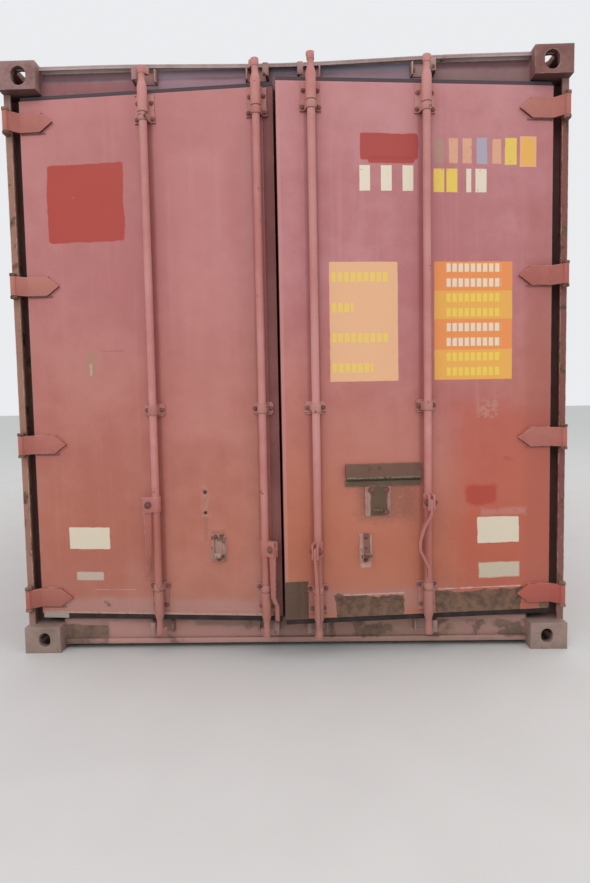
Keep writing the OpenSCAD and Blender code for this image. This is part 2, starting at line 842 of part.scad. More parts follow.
// A catch's plate with a lip that stands out under the raised handle and turns up
module lipped_catch(plate_width, plate_low, plate_high, lip_width) {
    plate = 5;
    thick = 8;
    turn_up = 12;
    out = rod_stand + handle_depth / 2 + cam_gap;
    span([-plate_width / 2, -plate, plate_low], [plate_width / 2, 0, plate_high]);
    across(-lip_width / 2, lip_width / 2) polygon([
        [0, -catch_drop - thick - turn_up], [-out - thick, -catch_drop - thick],
        [-out - thick, -catch_drop + turn_up], [-out, -catch_drop + turn_up], [-out, -catch_drop],
        [0, -catch_drop]
    ]);
}

// The left door's inner catch: a plate with a hook beside its lip
module hooked_catch() {
    hook_from = 22;
    hook_thick = 6;
    hook_reach = 14;
    lipped_catch(65, -65, 53, 34);
    span([hook_from, -hook_reach, -48], [hook_from + hook_thick, 0, 40]);
}

// The right door's inner catch: a holder with a rib down each side
module ribbed_catch() {
    rib_x = 22;
    rib = [6, 11, 72];
    lipped_catch(56, -72, 54, 44);
    for (s = [-1, 1]) translate([s * rib_x - rib[0] / 2, -rib[1], -rib[2] / 2]) cube(rib);
}

// The right door's outer catch: a wide rusty plate with a bent flange, its lip torn short
module torn_catch() {
    plate = 4;
    side = -torn_plate / 2;
    top = hood_rise - 2;
    flange_thick = 5;
    flange_reach = 11;
    stump = 24;
    span([side, -plate, -66], [-side, 0, top]);
    span([side, -flange_reach, -40], [side + flange_thick, -plate, top - plate]);
    across(-20, 14) polygon([
        [0, -catch_drop - 16], [-stump + 4, -catch_drop - 10], [-stump, -catch_drop], [0, -catch_drop]
    ]);
}

module left_door_handle_catch() {
    r = rods[1];
    color(rust) ajar(left) translate([r[2] + r[1] * catch_reach, face, r[3]]) hooked_catch();
}

module right_door_handle_catches() {
    inner = rods[2];
    outer = rods[3];
    color(rust) ajar(right) {
        translate([inner[2] + inner[1] * catch_reach, face, inner[3]]) ribbed_catch();
        translate([outer[2] + outer[1] * catch_reach, face, outer[3]]) torn_catch();
    }
}

// A rusty angle over the right door's outer catch: a sloping flange and a lower plate set back
module right_door_rain_hood() {
    reach = 34;
    tall = 97;
    edge = 4;
    web_out = 8;
    flange_from = 45;
    edge_low = flange_from - edge;
    color(rust) ajar(right) translate([0, face, outer_hub_z + hood_rise])
        across(hood_from, outer_rod_x - rod_d / 2 - hood_gap) polygon([
            [0, 0], [-web_out, 0], [-web_out, flange_from], [-reach, edge_low],
            [-reach, edge_low + edge], [-web_out, tall], [0, tall]
        ]);
}

// A rod's piece, drawn locked at the origin, put at the rod's place and turn
module at_rod(r) {
    ajar(r[0]) translate([r[2], rod_y, 0]) rotate([0, 0, -r[1] * r[4]]) children();
}

// One cam: a long lobe on the side away from the handle and a short one beside it
module cam(hand) {
    collar = neck_d / 2 + 2;
    tip_x = -hand * (cam_reach - cam_tip);
    spur = collar + 2;
    translate([0, 0, -cam_height / 2]) {
        cylinder(r = collar, h = cam_height);
        linear_extrude(cam_height) polygon([
            [0, -collar], [tip_x, -cam_tip], [tip_x, cam_tip], [0, collar]
        ]);
        translate([tip_x, 0, 0]) cylinder(r = cam_tip, h = cam_height);
        translate([0, 0, cam_height / 2]) linear_extrude(cam_height / 2) polygon([
            [0, 0], [-hand * 6, -spur], [hand * 6, -spur], [hand * collar, 0]
        ]);
    }
}

// The fork that carries a handle's pin, on the side of hand
module handle_fork(hand) {
    cheek = 8;
    gap = 1;
    half_slot = handle_depth / 2 + gap;
    reach = handle_pivot + handle_width / 2;
    collar = rod_d / 2 + 5;
    slot_from = rod_d / 2 + 2;
    deep = 2 * fork_height;
    difference() {
        union() {
            translate([0, 0, -fork_height / 2]) cylinder(r = collar, h = fork_height);
            for (s = [-1, 1]) translate([hand * reach / 2, s * (half_slot + cheek / 2), 0])
                cube([reach, cheek, fork_height], center = true);
        }
        translate([hand * (slot_from + reach / 2), 0, 0]) cube([reach, 2 * half_slot, deep], center = true);
        translate([hand * handle_pivot, 0, 0]) rotate([90, 0, 0])
            cylinder(d = handle_pin_d + 2 * pin_gap, h = deep, center = true);
        cylinder(r = rod_d / 2 - rod_wall, h = deep, center = true);
    }
}

// The forged end of a rod: socket, tapering shoulder and neck, drawn upward from the strap
module rod_forging(reach) {
    socket = forging_d / 2;
    neck = neck_d / 2;
    gap = 4;
    shoulder = 28;
    taper = 110;
    rotate_extrude() polygon([
        [0, 0], [rod_d / 2, 0], [rod_d / 2, gap], [socket, gap + 3], [socket, taper],
        [neck, taper + shoulder], [neck, reach], [0, reach]
    ]);
}

// A whole lock rod: tube, forged ends with their cams, and the handle's fork
module lock_rod(r) {
    low = bottom_cam_z - cam_height / 2;
    high = top_cam_z + cam_height / 2;
    at_rod(r) {
        translate([0, 0, lower_strap]) difference() {
            cylinder(d = rod_d, h = upper_strap - lower_strap);
            translate([0, 0, 1])
                cylinder(d = rod_d - 2 * rod_wall, h = upper_strap - lower_strap - 2);
        }
        translate([0, 0, upper_strap - 1]) rod_forging(high - upper_strap + 1);
        translate([0, 0, lower_strap + 1]) mirror([0, 0, 1]) rod_forging(lower_strap + 1 - low);
        translate([0, 0, bottom_cam_z]) mirror([0, 0, 1]) cam(r[1]);
        translate([0, 0, top_cam_z]) cam(r[1]);
        translate([0, 0, r[3]]) handle_fork(r[1]);
    }
}

// A handle as it hangs: pin and round head in the fork, and a tapering bar bent along path
module handle(r, path) {
    width = handle_width / 2;
    tip = handle_tip / 2;
    thick = handle_depth / 2;
    clear = 2 * handle_bow;
    at_rod(r) translate([r[1] * handle_pivot, 0, r[3]]) {
        rotate([90, 0, 0]) {
            cylinder(r = width, h = handle_depth, center = true);
            cylinder(d = handle_pin_d, h = handle_depth + 24, center = true);
        }
        intersection() {
            across(-width, width) polygon(concat(
                [for (p = path) [p[1] - thick, -p[0] * handle_length]],
                [for (i = [len(path) - 1:-1:0]) [path[i][1] + thick, -path[i][0] * handle_length]]
            ));
            along(-clear, clear) polygon([
                [-width, 0], [-width, -20], [-tip, -handle_length + 40], [-tip, -handle_length],
                [tip, -handle_length], [tip, -handle_length + 40], [width, -20], [width, 0]
            ]);
        }
    }
}

module bracket_colour() {
    color(dark_red) children();
}

module lock_colour() {
    color(bright_red) children();
}

door_end_castings();
closed_end_castings();
door_post_outer_sections();
door_post_inner_channels();
hinge_lugs_and_pins();
door_header();
door_header_lip();
door_sill();
door_sill_lip();
cam_keepers();
closed_end_posts();
closed_end_top_rail();
closed_end_bottom_rail();
closed_end_wall();
top_side_rails();
bottom_side_rails();
left_side_wall();
right_side_wall();
roof_panel();
floor_cross_members();
forklift_pockets();
plywood_floor();
side_ventilators();
color(bright_red) door_skin_sheet(left);  // left_door_skin
color(red) door_tubes(left);  // left_door_frame
color(wood) door_filling(left);  // left_door_board
color(rubber) door_seal(left);  // left_door_seal
color(red) door_blades(left);  // left_door_hinge_blades
bracket_colour() door_bearings(left);  // left_door_rod_brackets
left_door_handle_catch();
color(bright_red) door_skin_sheet(right);  // right_door_skin
color(red) door_tubes(right);  // right_door_frame
color(wood) door_filling(right);  // right_door_board
color(rubber) door_seal(right);  // right_door_seal
color(red) door_blades(right);  // right_door_hinge_blades
bracket_colour() door_bearings(right);  // right_door_rod_brackets
right_door_handle_catches();
right_door_rain_hood();
lock_colour() lock_rod(rods[0]);  // lock_rod_1
lock_colour() lock_rod(rods[1]);  // lock_rod_2
lock_colour() lock_rod(rods[2]);  // lock_rod_3
lock_colour() lock_rod(rods[3]);  // lock_rod_4
lock_colour() handle(rods[0], straight);  // handle_1
lock_colour() handle(rods[1], straight);  // handle_2
lock_colour() handle(rods[2], leaning);  // handle_3
lock_colour() handle(rods[3], bowed);  // handle_4
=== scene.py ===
"""Looks of a twenty-foot steel shipping container with flat doors that stand ajar."""

import json
import logging
import math
from collections.abc import Callable
from dataclasses import dataclass, field
from enum import Enum

import bmesh
import bpy
from mathutils import Matrix, Vector

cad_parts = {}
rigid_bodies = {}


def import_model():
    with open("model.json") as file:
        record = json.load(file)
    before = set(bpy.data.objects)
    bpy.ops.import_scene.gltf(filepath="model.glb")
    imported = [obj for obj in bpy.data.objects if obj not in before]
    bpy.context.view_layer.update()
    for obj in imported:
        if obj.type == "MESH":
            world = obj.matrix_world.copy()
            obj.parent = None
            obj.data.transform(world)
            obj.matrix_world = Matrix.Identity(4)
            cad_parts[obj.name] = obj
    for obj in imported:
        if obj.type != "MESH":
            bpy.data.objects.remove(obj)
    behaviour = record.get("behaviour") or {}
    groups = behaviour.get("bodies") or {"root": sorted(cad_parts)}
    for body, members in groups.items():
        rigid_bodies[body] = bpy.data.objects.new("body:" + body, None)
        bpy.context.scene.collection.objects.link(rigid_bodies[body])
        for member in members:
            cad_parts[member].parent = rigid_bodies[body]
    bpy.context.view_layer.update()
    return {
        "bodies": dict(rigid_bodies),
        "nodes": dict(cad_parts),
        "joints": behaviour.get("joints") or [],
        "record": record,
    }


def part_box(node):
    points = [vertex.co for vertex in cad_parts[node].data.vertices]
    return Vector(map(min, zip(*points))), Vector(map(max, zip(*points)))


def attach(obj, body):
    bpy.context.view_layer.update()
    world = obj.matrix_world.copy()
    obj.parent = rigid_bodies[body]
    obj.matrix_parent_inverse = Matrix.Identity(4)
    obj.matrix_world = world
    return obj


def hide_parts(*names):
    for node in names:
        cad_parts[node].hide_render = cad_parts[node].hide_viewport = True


LOG = logging.getLogger("container")

Colour = tuple[float, float, float]
Point = tuple[float, float, float]


class Side(Enum):
    """Which door a piece belongs to."""

    LEFT = -1
    RIGHT = 1

    @property
    def body(self) -> str:
        """Name of the CAD body of this door."""
        return "left_door" if self is Side.LEFT else "right_door"


class Slot(Enum):
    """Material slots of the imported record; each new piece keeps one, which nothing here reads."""

    DOOR_PAINT = "door_paint"
    FRAME_PAINT = "frame_paint"
    GEAR_PAINT = "gear_paint"
    RUSTY_STEEL = "rusty_steel"
    RUBBER = "rubber"


@dataclass(frozen=True)
class RodPlace:
    """Where one lock rod stands with its door closed, and how far it is turned from locked."""

    side: Side
    hand: int
    x: float
    hub: float
    turn: float


class Plan:
    """Places of the doors, rods and castings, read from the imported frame."""

    pin_x = 1.201
    pin_inset = 0.018
    face_inset = 0.064
    rod_inset = 0.028
    rod_total_turn = 165.0

    def __init__(self, frame: dict) -> None:
        """Reads the rest angles from the joints' ranges.
        """
        ranges = {j["name"]: j["range_deg"] for j in frame["joints"]}
        low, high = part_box("door_end_castings")
        self.front = low.y
        self.half = high.x
        self.face = self.front + self.face_inset
        self.angles = {
            Side.LEFT: ranges["left_door_hinge"][0],
            Side.RIGHT: -ranges["right_door_hinge"][0],
        }
        turns = [self.rod_total_turn - ranges[f"rod_{i}_turn"][1] for i in range(1, 5)]
        self.rods = [
            RodPlace(Side.LEFT, 1, -0.596, 0.680, turns[0]),
            RodPlace(Side.LEFT, -1, -0.112, 0.484, turns[1]),
            RodPlace(Side.RIGHT, 1, 0.112, 0.484, turns[2]),
            RodPlace(Side.RIGHT, -1, 0.596, 0.680, turns[3]),
        ]

    def door(self, side: Side) -> Matrix:
        """Turns a closed door's place into its place as it stands ajar."""
        pin = Vector((side.value * self.pin_x, self.front + self.pin_inset, 0))
        turn = Matrix.Rotation(math.radians(self.angles[side]), 4, "Z")
        return Matrix.Translation(pin) @ turn @ Matrix.Translation(-pin)

    def on_face(self, side: Side, x: float, z: float) -> Matrix:
        """Frame on a door's face with local -Y pointing out of the door."""
        return self.door(side) @ Matrix.Translation((x, self.face, z))

    def on_rod(self, rod: RodPlace) -> Matrix:
        """Frame on a rod's axis, with the handle's fork towards local hand times X."""
        axis = Matrix.Translation((rod.x, self.front + self.rod_inset, 0))
        turn = Matrix.Rotation(math.radians(-rod.hand * rod.turn), 4, "Z")
        return self.door(rod.side) @ axis @ turn


class Graph:
    """Adds shader nodes to one node tree and joins them."""

    def __init__(self, tree: bpy.types.NodeTree) -> None:
        """Keeps the tree that nodes are added to."""
        self.tree = tree

    def put(self, socket: bpy.types.NodeSocket, value: object) -> None:
        """Links a socket to an output, or sets its plain value.

        Args:
            socket: The input to fill.
            value: An output socket, a number or a tuple.
        """
        if isinstance(value, bpy.types.NodeSocket):
            self.tree.links.new(value, socket)
        elif isinstance(value, tuple) and len(value) == 3 and socket.type == "RGBA":
            socket.default_value = (*value, 1.0)
        elif value is not None:
            socket.default_value = value

    def node(self, kind: str, inputs: dict | None = None, **settings: object) -> bpy.types.Node:
        """Adds a node.

        Args:
            kind: Blender's name of the node type.
            inputs: Values or outputs for its inputs, by name or number.
            settings: Properties set on the node first.

        Returns:
            The new node.
        """
        made = self.tree.nodes.new(kind)
        for name, value in settings.items():
            setattr(made, name, value)
        for key, value in (inputs or {}).items():
            self.put(made.inputs[key], value)
        return made

    def math(self, operation: str, *values: object, clamp: bool = False) -> bpy.types.NodeSocket:
        """Output of a Math node with that operation on the values."""
        made = self.node("ShaderNodeMath", dict(enumerate(values)), operation=operation, use_clamp=clamp)
        return made.outputs[0]

    def mix(self, factor: object, a: object, b: object) -> bpy.types.NodeSocket:
        """Output of a colour mix from a to b."""
        made = self.node("ShaderNodeMix", data_type="RGBA")
        for key, value in ((0, factor), (6, a), (7, b)):
            self.put(made.inputs[key], value)
        return made.outputs[2]

    def noise(self, vector: object, scale: object, detail: float = 3.0, rough: float = 0.5,
              warp: float = 0.0) -> bpy.types.NodeSocket:
        """Value of a noise texture at a place."""
        made = self.node("ShaderNodeTexNoise", {
            "Vector": vector, "Scale": scale, "Detail": detail, "Roughness": rough, "Distortion": warp,
        })
        return made.outputs[0]

    def span(self, value: object, low: object, high: object, to_low: object = 0.0,
             to_high: object = 1.0) -> bpy.types.NodeSocket:
        """A value taken smoothly from one range to another and held at its ends."""
        made = self.node("ShaderNodeMapRange", {
            0: value, 1: low, 2: high, 3: to_low, 4: to_high,
        }, interpolation_type="SMOOTHSTEP", clamp=True)
        return made.outputs[0]

    def stretch(self, vector: object, by: Point) -> bpy.types.NodeSocket:
        """A place scaled along each axis, for streaks and grain."""
        made = self.node("ShaderNodeMapping", {0: vector, 3: by}, vector_type="POINT")
        return made.outputs[0]


class Effect:
    """A shader node group that several finishes share, built once."""

    title = ""
    inputs: tuple[tuple[str, str, object], ...] = ()
    outputs: tuple[tuple[str, str], ...] = ()

    def __init__(self) -> None:
        """Makes the group with its named inputs and outputs."""
        self.tree = bpy.data.node_groups.new(self.title, "ShaderNodeTree")
        for name, kind, value in self.inputs:
            made = self.tree.interface.new_socket(name=name, in_out="INPUT", socket_type=kind)
            if value is not None:
                made.default_value = (*value, 1.0) if kind == "NodeSocketColor" else value
        for name, kind in self.outputs:
            self.tree.interface.new_socket(name=name, in_out="OUTPUT", socket_type=kind)
        graph = Graph(self.tree)
        source = self.tree.nodes.new("NodeGroupInput")
        target = self.tree.nodes.new("NodeGroupOutput")
        for name, value in self.build(graph, source.outputs).items():
            graph.put(target.inputs[name], value)

    def build(self, graph: Graph, given: bpy.types.NodeOutputs) -> dict[str, object]:
        """Makes the nodes inside and returns what each output carries."""
        raise NotImplementedError

    def place(self, graph: Graph, **values: object) -> bpy.types.NodeOutputs:
        """Puts the group into a material.

        Args:
            graph: The material's graph.
            values: Values for the group's inputs, with _ for a space.

        Returns:
            The group node's outputs.
        """
        made = graph.tree.nodes.new("ShaderNodeGroup")
        made.node_tree = self.tree
        for name, value in values.items():
            graph.put(made.inputs[name.replace("_", " ")], value)
        return made.outputs


class EdgeWear(Effect):
    """Mask of a piece's outer edges, where paint rubs off."""

    title = "Edge wear"
    inputs = (("Vector", "NodeSocketVector", None), ("Width", "NodeSocketFloat", 0.004),
              ("Amount", "NodeSocketFloat", 0.6))
    outputs = (("Mask", "NodeSocketFloat"),)

    def build(self, graph: Graph, given: bpy.types.NodeOutputs) -> dict[str, object]:
        """Compares the rounded normal with the plain one and breaks the line up with noise."""
        rounded = graph.node("ShaderNodeBevel", {"Radius": given["Width"]}, samples=4)
        plain = graph.node("ShaderNodeNewGeometry")
        same = graph.node("ShaderNodeVectorMath", {0: rounded.outputs[0], 1: plain.outputs["Normal"]},
                          operation="DOT_PRODUCT").outputs["Value"]
        edge = graph.span(same, 0.995, 0.90, 0.0, 1.0)
        patchy = graph.span(graph.noise(given["Vector"], 34.0, 4.0, 0.65), 0.42, 0.6)
        worn = graph.math("MULTIPLY", edge, patchy)
        return {"Mask": graph.math("MULTIPLY", worn, given["Amount"], clamp=True)}


class Rust(Effect):
    """Patches and specks of rust with their own colour, roughness and height."""

    title = "Rust"
    inputs = (("Vector", "NodeSocketVector", None), ("Amount", "NodeSocketFloat", 0.2),
              ("Scale", "NodeSocketFloat", 6.0))
    outputs = (("Mask", "NodeSocketFloat"), ("Colour", "NodeSocketColor"), ("Height", "NodeSocketFloat"))
    dark: Colour = (0.075, 0.035, 0.021)
    bright: Colour = (0.21, 0.105, 0.055)

    def build(self, graph: Graph, given: bpy.types.NodeOutputs) -> dict[str, object]:
        """Broad patches thresholded by the amount, with specks between them."""
        broad = graph.noise(given["Vector"], given["Scale"], 6.0, 0.62, 0.3)
        bar = graph.math("SUBTRACT", 0.78, graph.math("MULTIPLY", given["Amount"], 0.42))
        patch = graph.span(broad, bar, graph.math("ADD", bar, 0.07))
        fine = graph.noise(given["Vector"], graph.math("MULTIPLY", given["Scale"], 11.0), 3.0, 0.6)
        speck_bar = graph.math("SUBTRACT", 0.80, graph.math("MULTIPLY", given["Amount"], 0.14))
        specks = graph.span(fine, speck_bar, graph.math("ADD", speck_bar, 0.03))
        mask = graph.math("MAXIMUM", patch, graph.math("MULTIPLY", specks, 0.8))
        tint = graph.noise(given["Vector"], graph.math("MULTIPLY", given["Scale"], 5.0), 5.0, 0.7)
        colour = graph.mix(graph.span(tint, 0.35, 0.65), self.dark, self.bright)
        height = graph.math("MULTIPLY", mask, graph.span(tint, 0.3, 0.7, 0.3, 1.0))
        return {"Mask": mask, "Colour": colour, "Height": height}


class Weather(Effect):
    """Old paint: faded and chalky in clouds, with faint streaks that run down."""

    title = "Weather"
    inputs = (("Vector", "NodeSocketVector", None), ("Paint", "NodeSocketColor", (0.4, 0.15, 0.13)),
              ("Faded", "NodeSocketColor", (0.5, 0.25, 0.23)), ("Streaks", "NodeSocketFloat", 0.4),
              ("Scale", "NodeSocketFloat", 1.6))
    outputs = (("Colour", "NodeSocketColor"), ("Chalk", "NodeSocketFloat"), ("Height", "NodeSocketFloat"))

    def build(self, graph: Graph, given: bpy.types.NodeOutputs) -> dict[str, object]:
        """Clouds at two sizes, and noise drawn out along Z for the streaks."""
        clouds = graph.noise(given["Vector"], given["Scale"], 4.0, 0.55)
        mottle = graph.noise(given["Vector"], graph.math("MULTIPLY", given["Scale"], 9.0), 4.0, 0.6)
        chalk = graph.span(graph.math("ADD", clouds, graph.math("MULTIPLY", mottle, 0.35)), 0.5, 0.86)
        streak = graph.noise(graph.stretch(given["Vector"], (26.0, 26.0, 0.9)), 1.0, 3.0, 0.6)
        streak = graph.math("MULTIPLY", graph.span(streak, 0.5, 0.75), given["Streaks"])
        colour = graph.mix(chalk, given["Paint"], given["Faded"])
        colour = graph.mix(streak, colour, given["Faded"])
        grain = graph.noise(given["Vector"], 210.0, 2.0, 0.5)
        return {"Colour": colour, "Chalk": chalk, "Height": graph.math("MULTIPLY", grain, 0.25)}


class Dust(Effect):
    """Pale dirt thrown up from the ground and settled on faces that look up."""

    title = "Dust"
    inputs = (("Vector", "NodeSocketVector", None), ("Amount", "NodeSocketFloat", 0.4),
              ("Reach", "NodeSocketFloat", 0.45), ("Settled", "NodeSocketFloat", 1.0))
    outputs = (("Mask", "NodeSocketFloat"), ("Colour", "NodeSocketColor"))
    damp: Colour = (0.23, 0.155, 0.12)
    dry: Colour = (0.42, 0.32, 0.265)

    def build(self, graph: Graph, given: bpy.types.NodeOutputs) -> dict[str, object]:
        """A ragged band above the ground joined with the upward faces."""
        place = graph.node("ShaderNodeSeparateXYZ", {0: given["Vector"]}).outputs
        ragged = graph.noise(given["Vector"], 7.0, 5.0, 0.65)
        level = graph.math("SUBTRACT", place[2], graph.math("MULTIPLY", ragged, 0.25))
        low = graph.span(level, given["Reach"], -0.1)
        normal = graph.node("ShaderNodeNewGeometry").outputs["Normal"]
        up = graph.node("ShaderNodeSeparateXYZ", {0: normal}).outputs[2]
        settled = graph.math("MULTIPLY", graph.span(up, 0.3, 0.95), graph.span(ragged, 0.3, 0.6))
        both = graph.math("MAXIMUM", low, graph.math("MULTIPLY", settled, given["Settled"]))
        mask = graph.math("MULTIPLY", both, given["Amount"], clamp=True)
        colour = graph.mix(ragged, self.damp, self.dry)
        return {"Mask": mask, "Colour": colour}


class RustRuns(Effect):
    """Thin stains of rust that have run down a face."""

    title = "Rust runs"
    inputs = (("Vector", "NodeSocketVector", None), ("Amount", "NodeSocketFloat", 0.3))
    outputs = (("Mask", "NodeSocketFloat"), ("Colour", "NodeSocketColor"))
    thin: Colour = (0.10, 0.040, 0.022)
    thick: Colour = (0.24, 0.105, 0.055)

    def build(self, graph: Graph, given: bpy.types.NodeOutputs) -> dict[str, object]:
        """Noise drawn out along Z, kept to a few broad areas."""
        runs = graph.noise(graph.stretch(given["Vector"], (19.0, 19.0, 0.8)), 1.0, 4.0, 0.55, 0.4)
        broad = graph.span(graph.noise(given["Vector"], 1.3, 2.0, 0.5), 0.40, 0.66)
        bar = graph.math("SUBTRACT", 0.74, graph.math("MULTIPLY", given["Amount"], 0.24))
        mask = graph.math("MULTIPLY", graph.span(runs, bar, graph.math("ADD", bar, 0.14)), broad)
        colour = graph.mix(runs, self.thin, self.thick)
        return {"Mask": graph.math("MULTIPLY", mask, 0.75, clamp=True), "Colour": colour}


class PaintedShadeMasks(Effect):
    """Masks of pressed sheet's sloping faces and of undersides, for painted shade on them."""

    title = "PaintedShadeMasks"
    outputs = (("Mask", "NodeSocketFloat"), ("Under", "NodeSocketFloat"))

    def build(self, graph: Graph, given: bpy.types.NodeOutputs) -> dict[str, object]:
        """A face that looks along one axis only isn't a slope."""
        normal = graph.node("ShaderNodeNewGeometry").outputs["Normal"]
        x, y, z = graph.node("ShaderNodeSeparateXYZ", {0: normal}).outputs
        flat = graph.math("ABSOLUTE", graph.math("MULTIPLY", x, y))
        upright = graph.math("ABSOLUTE", graph.math("MULTIPLY", y, z))
        return {"Mask": graph.span(graph.math("ADD", flat, upright), 0.08, 0.36),
                "Under": graph.span(graph.math("MULTIPLY", z, -1.0), 0.30, 0.85)}


class PaintPatch(Effect):
    """Mask of a brushed or stained rectangle on an upright face, with a ragged edge and worn spots."""

    title = "Paint patch"
    inputs = (("Place", "NodeSocketVector", None), ("Left", "NodeSocketFloat", 0.0),
              ("Right", "NodeSocketFloat", 0.1), ("Bottom", "NodeSocketFloat", 0.0),
              ("Top", "NodeSocketFloat", 0.1), ("Ragged", "NodeSocketFloat", 0.006),
              ("Worn", "NodeSocketFloat", 0.3), ("Soft", "NodeSocketFloat", 0.0025),
              ("Grain", "NodeSocketFloat", 22.0), ("Rounded", "NodeSocketFloat", 0.0),
              ("Spots", "NodeSocketFloat", 0.5))
    outputs = (("Mask", "NodeSocketFloat"),)

    def build(self, graph: Graph, given: bpy.types.NodeOutputs) -> dict[str, object]:
        """Distance inside the rectangle, wobbled by noise, then broken by worn spots."""
        place = graph.node("ShaderNodeSeparateXYZ", {0: given["Place"]}).outputs
        reach = [
            graph.math("SUBTRACT", place[0], given["Left"]),
            graph.math("SUBTRACT", given["Right"], place[0]),
            graph.math("SUBTRACT", place[2], given["Bottom"]),
            graph.math("SUBTRACT", given["Top"], place[2]),
        ]
        inside = reach[0]
        for other in reach[1:]:
            inside = graph.math("SMOOTH_MIN", inside, other, given["Rounded"])
        wobble = graph.math("SUBTRACT", graph.noise(given["Place"], given["Grain"], 5.0, 0.7), 0.5)
        inside = graph.math("ADD", inside, graph.math("MULTIPLY", wobble, given["Ragged"]))
        mask = graph.span(inside, 0.0, given["Soft"])
        bar = graph.math("SUBTRACT", 0.82, graph.math("MULTIPLY", given["Worn"], 0.4))
        worn = graph.span(given["Spots"], bar, graph.math("ADD", bar, 0.08), 1.0, 0.0)
        return {"Mask": graph.math("MULTIPLY", mask, worn)}


class BlockRow(Effect):
    """Gate of evenly spaced plain blocks along X."""

    title = "Block row"
    inputs = (("Place", "NodeSocketVector", None), ("Left", "NodeSocketFloat", 0.0),
              ("Pitch", "NodeSocketFloat", 0.06), ("Filled", "NodeSocketFloat", 0.7))
    outputs = (("Mask", "NodeSocketFloat"),)

    def build(self, graph: Graph, given: bpy.types.NodeOutputs) -> dict[str, object]:
        """Share of each pitch that a block fills."""
        place = graph.node("ShaderNodeSeparateXYZ", {0: given["Place"]}).outputs
        along = graph.math("DIVIDE", graph.math("SUBTRACT", place[0], given["Left"]), given["Pitch"])
        share = graph.math("FRACT", along)
        return {"Mask": graph.math("LESS_THAN", share, given["Filled"])}


class Effects:
    """Every shared shader group, built once."""

    def __init__(self) -> None:
        """Builds the groups."""
        self.edge = EdgeWear()
        self.rust = Rust()
        self.weather = Weather()
        self.dust = Dust()
        self.runs = RustRuns()
        self.shade_masks = PaintedShadeMasks()
        self.patch = PaintPatch()
        self.blocks = BlockRow()


@dataclass(frozen=True)
class Patch:
    """A painted or stained patch on an upright face, in metres across and up."""

    left: float
    right: float
    bottom: float
    top: float
    colour: Colour
    ragged: float = 0.008
    worn: float = 0.35
    strength: float = 1.0
    pitch: float = 0.0
    filled: float = 0.72
    soft: float = 0.0025
    grain: float = 22.0
    rounded: float = 0.0

    def mask(self, graph: Graph, place: bpy.types.NodeSocket, spots: bpy.types.NodeSocket,
             effects: Effects) -> bpy.types.NodeSocket:
        """Share of the patch's colour at a place.

        Args:
            graph: The material's graph.
            place: Where on the object, with its door closed.
            spots: Noise that wears holes in the patch.
            effects: The shared shader groups.

        Returns:
            A mask from nought to the patch's strength.
        """
        mask = effects.patch.place(graph, Place=place, Left=self.left, Right=self.right, Bottom=self.bottom,
                                   Top=self.top, Ragged=self.ragged, Worn=self.worn, Soft=self.soft,
                                   Grain=self.grain, Rounded=self.rounded, Spots=spots)["Mask"]
        if self.pitch:
            gate = effects.blocks.place(graph, Place=place, Left=self.left, Pitch=self.pitch,
                                        Filled=self.filled)
            mask = graph.math("MULTIPLY", mask, gate["Mask"])
        return graph.math("MULTIPLY", mask, self.strength)


@dataclass(frozen=True)
class Finish:
    """A material's plain facts, and how to build it."""

    name: str
    rough: float = 0.6

    def make(self, effects: Effects) -> bpy.types.Material:
        """Builds the material.

        Args:
            effects: The shared shader groups.

        Returns:
            The finished material.
        """
        material = bpy.data.materials.new(self.name)
        material.use_nodes = True
        graph = Graph(material.node_tree)
        shader = material.node_tree.nodes["Principled BSDF"]
        place = graph.node("ShaderNodeTexCoord").outputs["Object"]
        self.dress(graph, shader, place, effects)
        return material

    def dress(self, graph: Graph, shader: bpy.types.Node, place: bpy.types.NodeSocket,
              effects: Effects) -> None:
        """Fills the shader's sockets."""
        raise NotImplementedError

    @staticmethod
    def bump(graph: Graph, shader: bpy.types.Node, height: object, distance: float) -> None:
        """Gives the surface relief from a height."""
        made = graph.node("ShaderNodeBump", {"Height": height, "Distance": distance, "Strength": 1.0})
        graph.put(shader.inputs["Normal"], made.outputs[0])

    @staticmethod
    def masks(graph: Graph, place: bpy.types.NodeSocket, effects: Effects,
              patches: tuple[Patch, ...]) -> list[tuple[Patch, bpy.types.NodeSocket]]:
        """Each patch with its mask, all worn by the same spots."""
        if not patches:
            return []
        spots = graph.noise(place, 48.0, 5.0, 0.72)
        return [(patch, patch.mask(graph, place, spots, effects)) for patch in patches]

    def lay(self, graph: Graph, place: bpy.types.NodeSocket, effects: Effects, colour: object,
            patches: tuple[Patch, ...]) -> object:
        """Lays each patch's colour over a colour, in order."""
        for patch, mask in self.masks(graph, place, effects, patches):
            colour = graph.mix(mask, colour, patch.colour)
        return colour

    def gather(self, graph: Graph, place: bpy.types.NodeSocket, effects: Effects, amount: object,
               patches: tuple[Patch, ...]) -> object:
        """Adds each patch's share to an amount of rust."""
        for _, mask in self.masks(graph, place, effects, patches):
            amount = graph.math("ADD", amount, mask)
        return amount


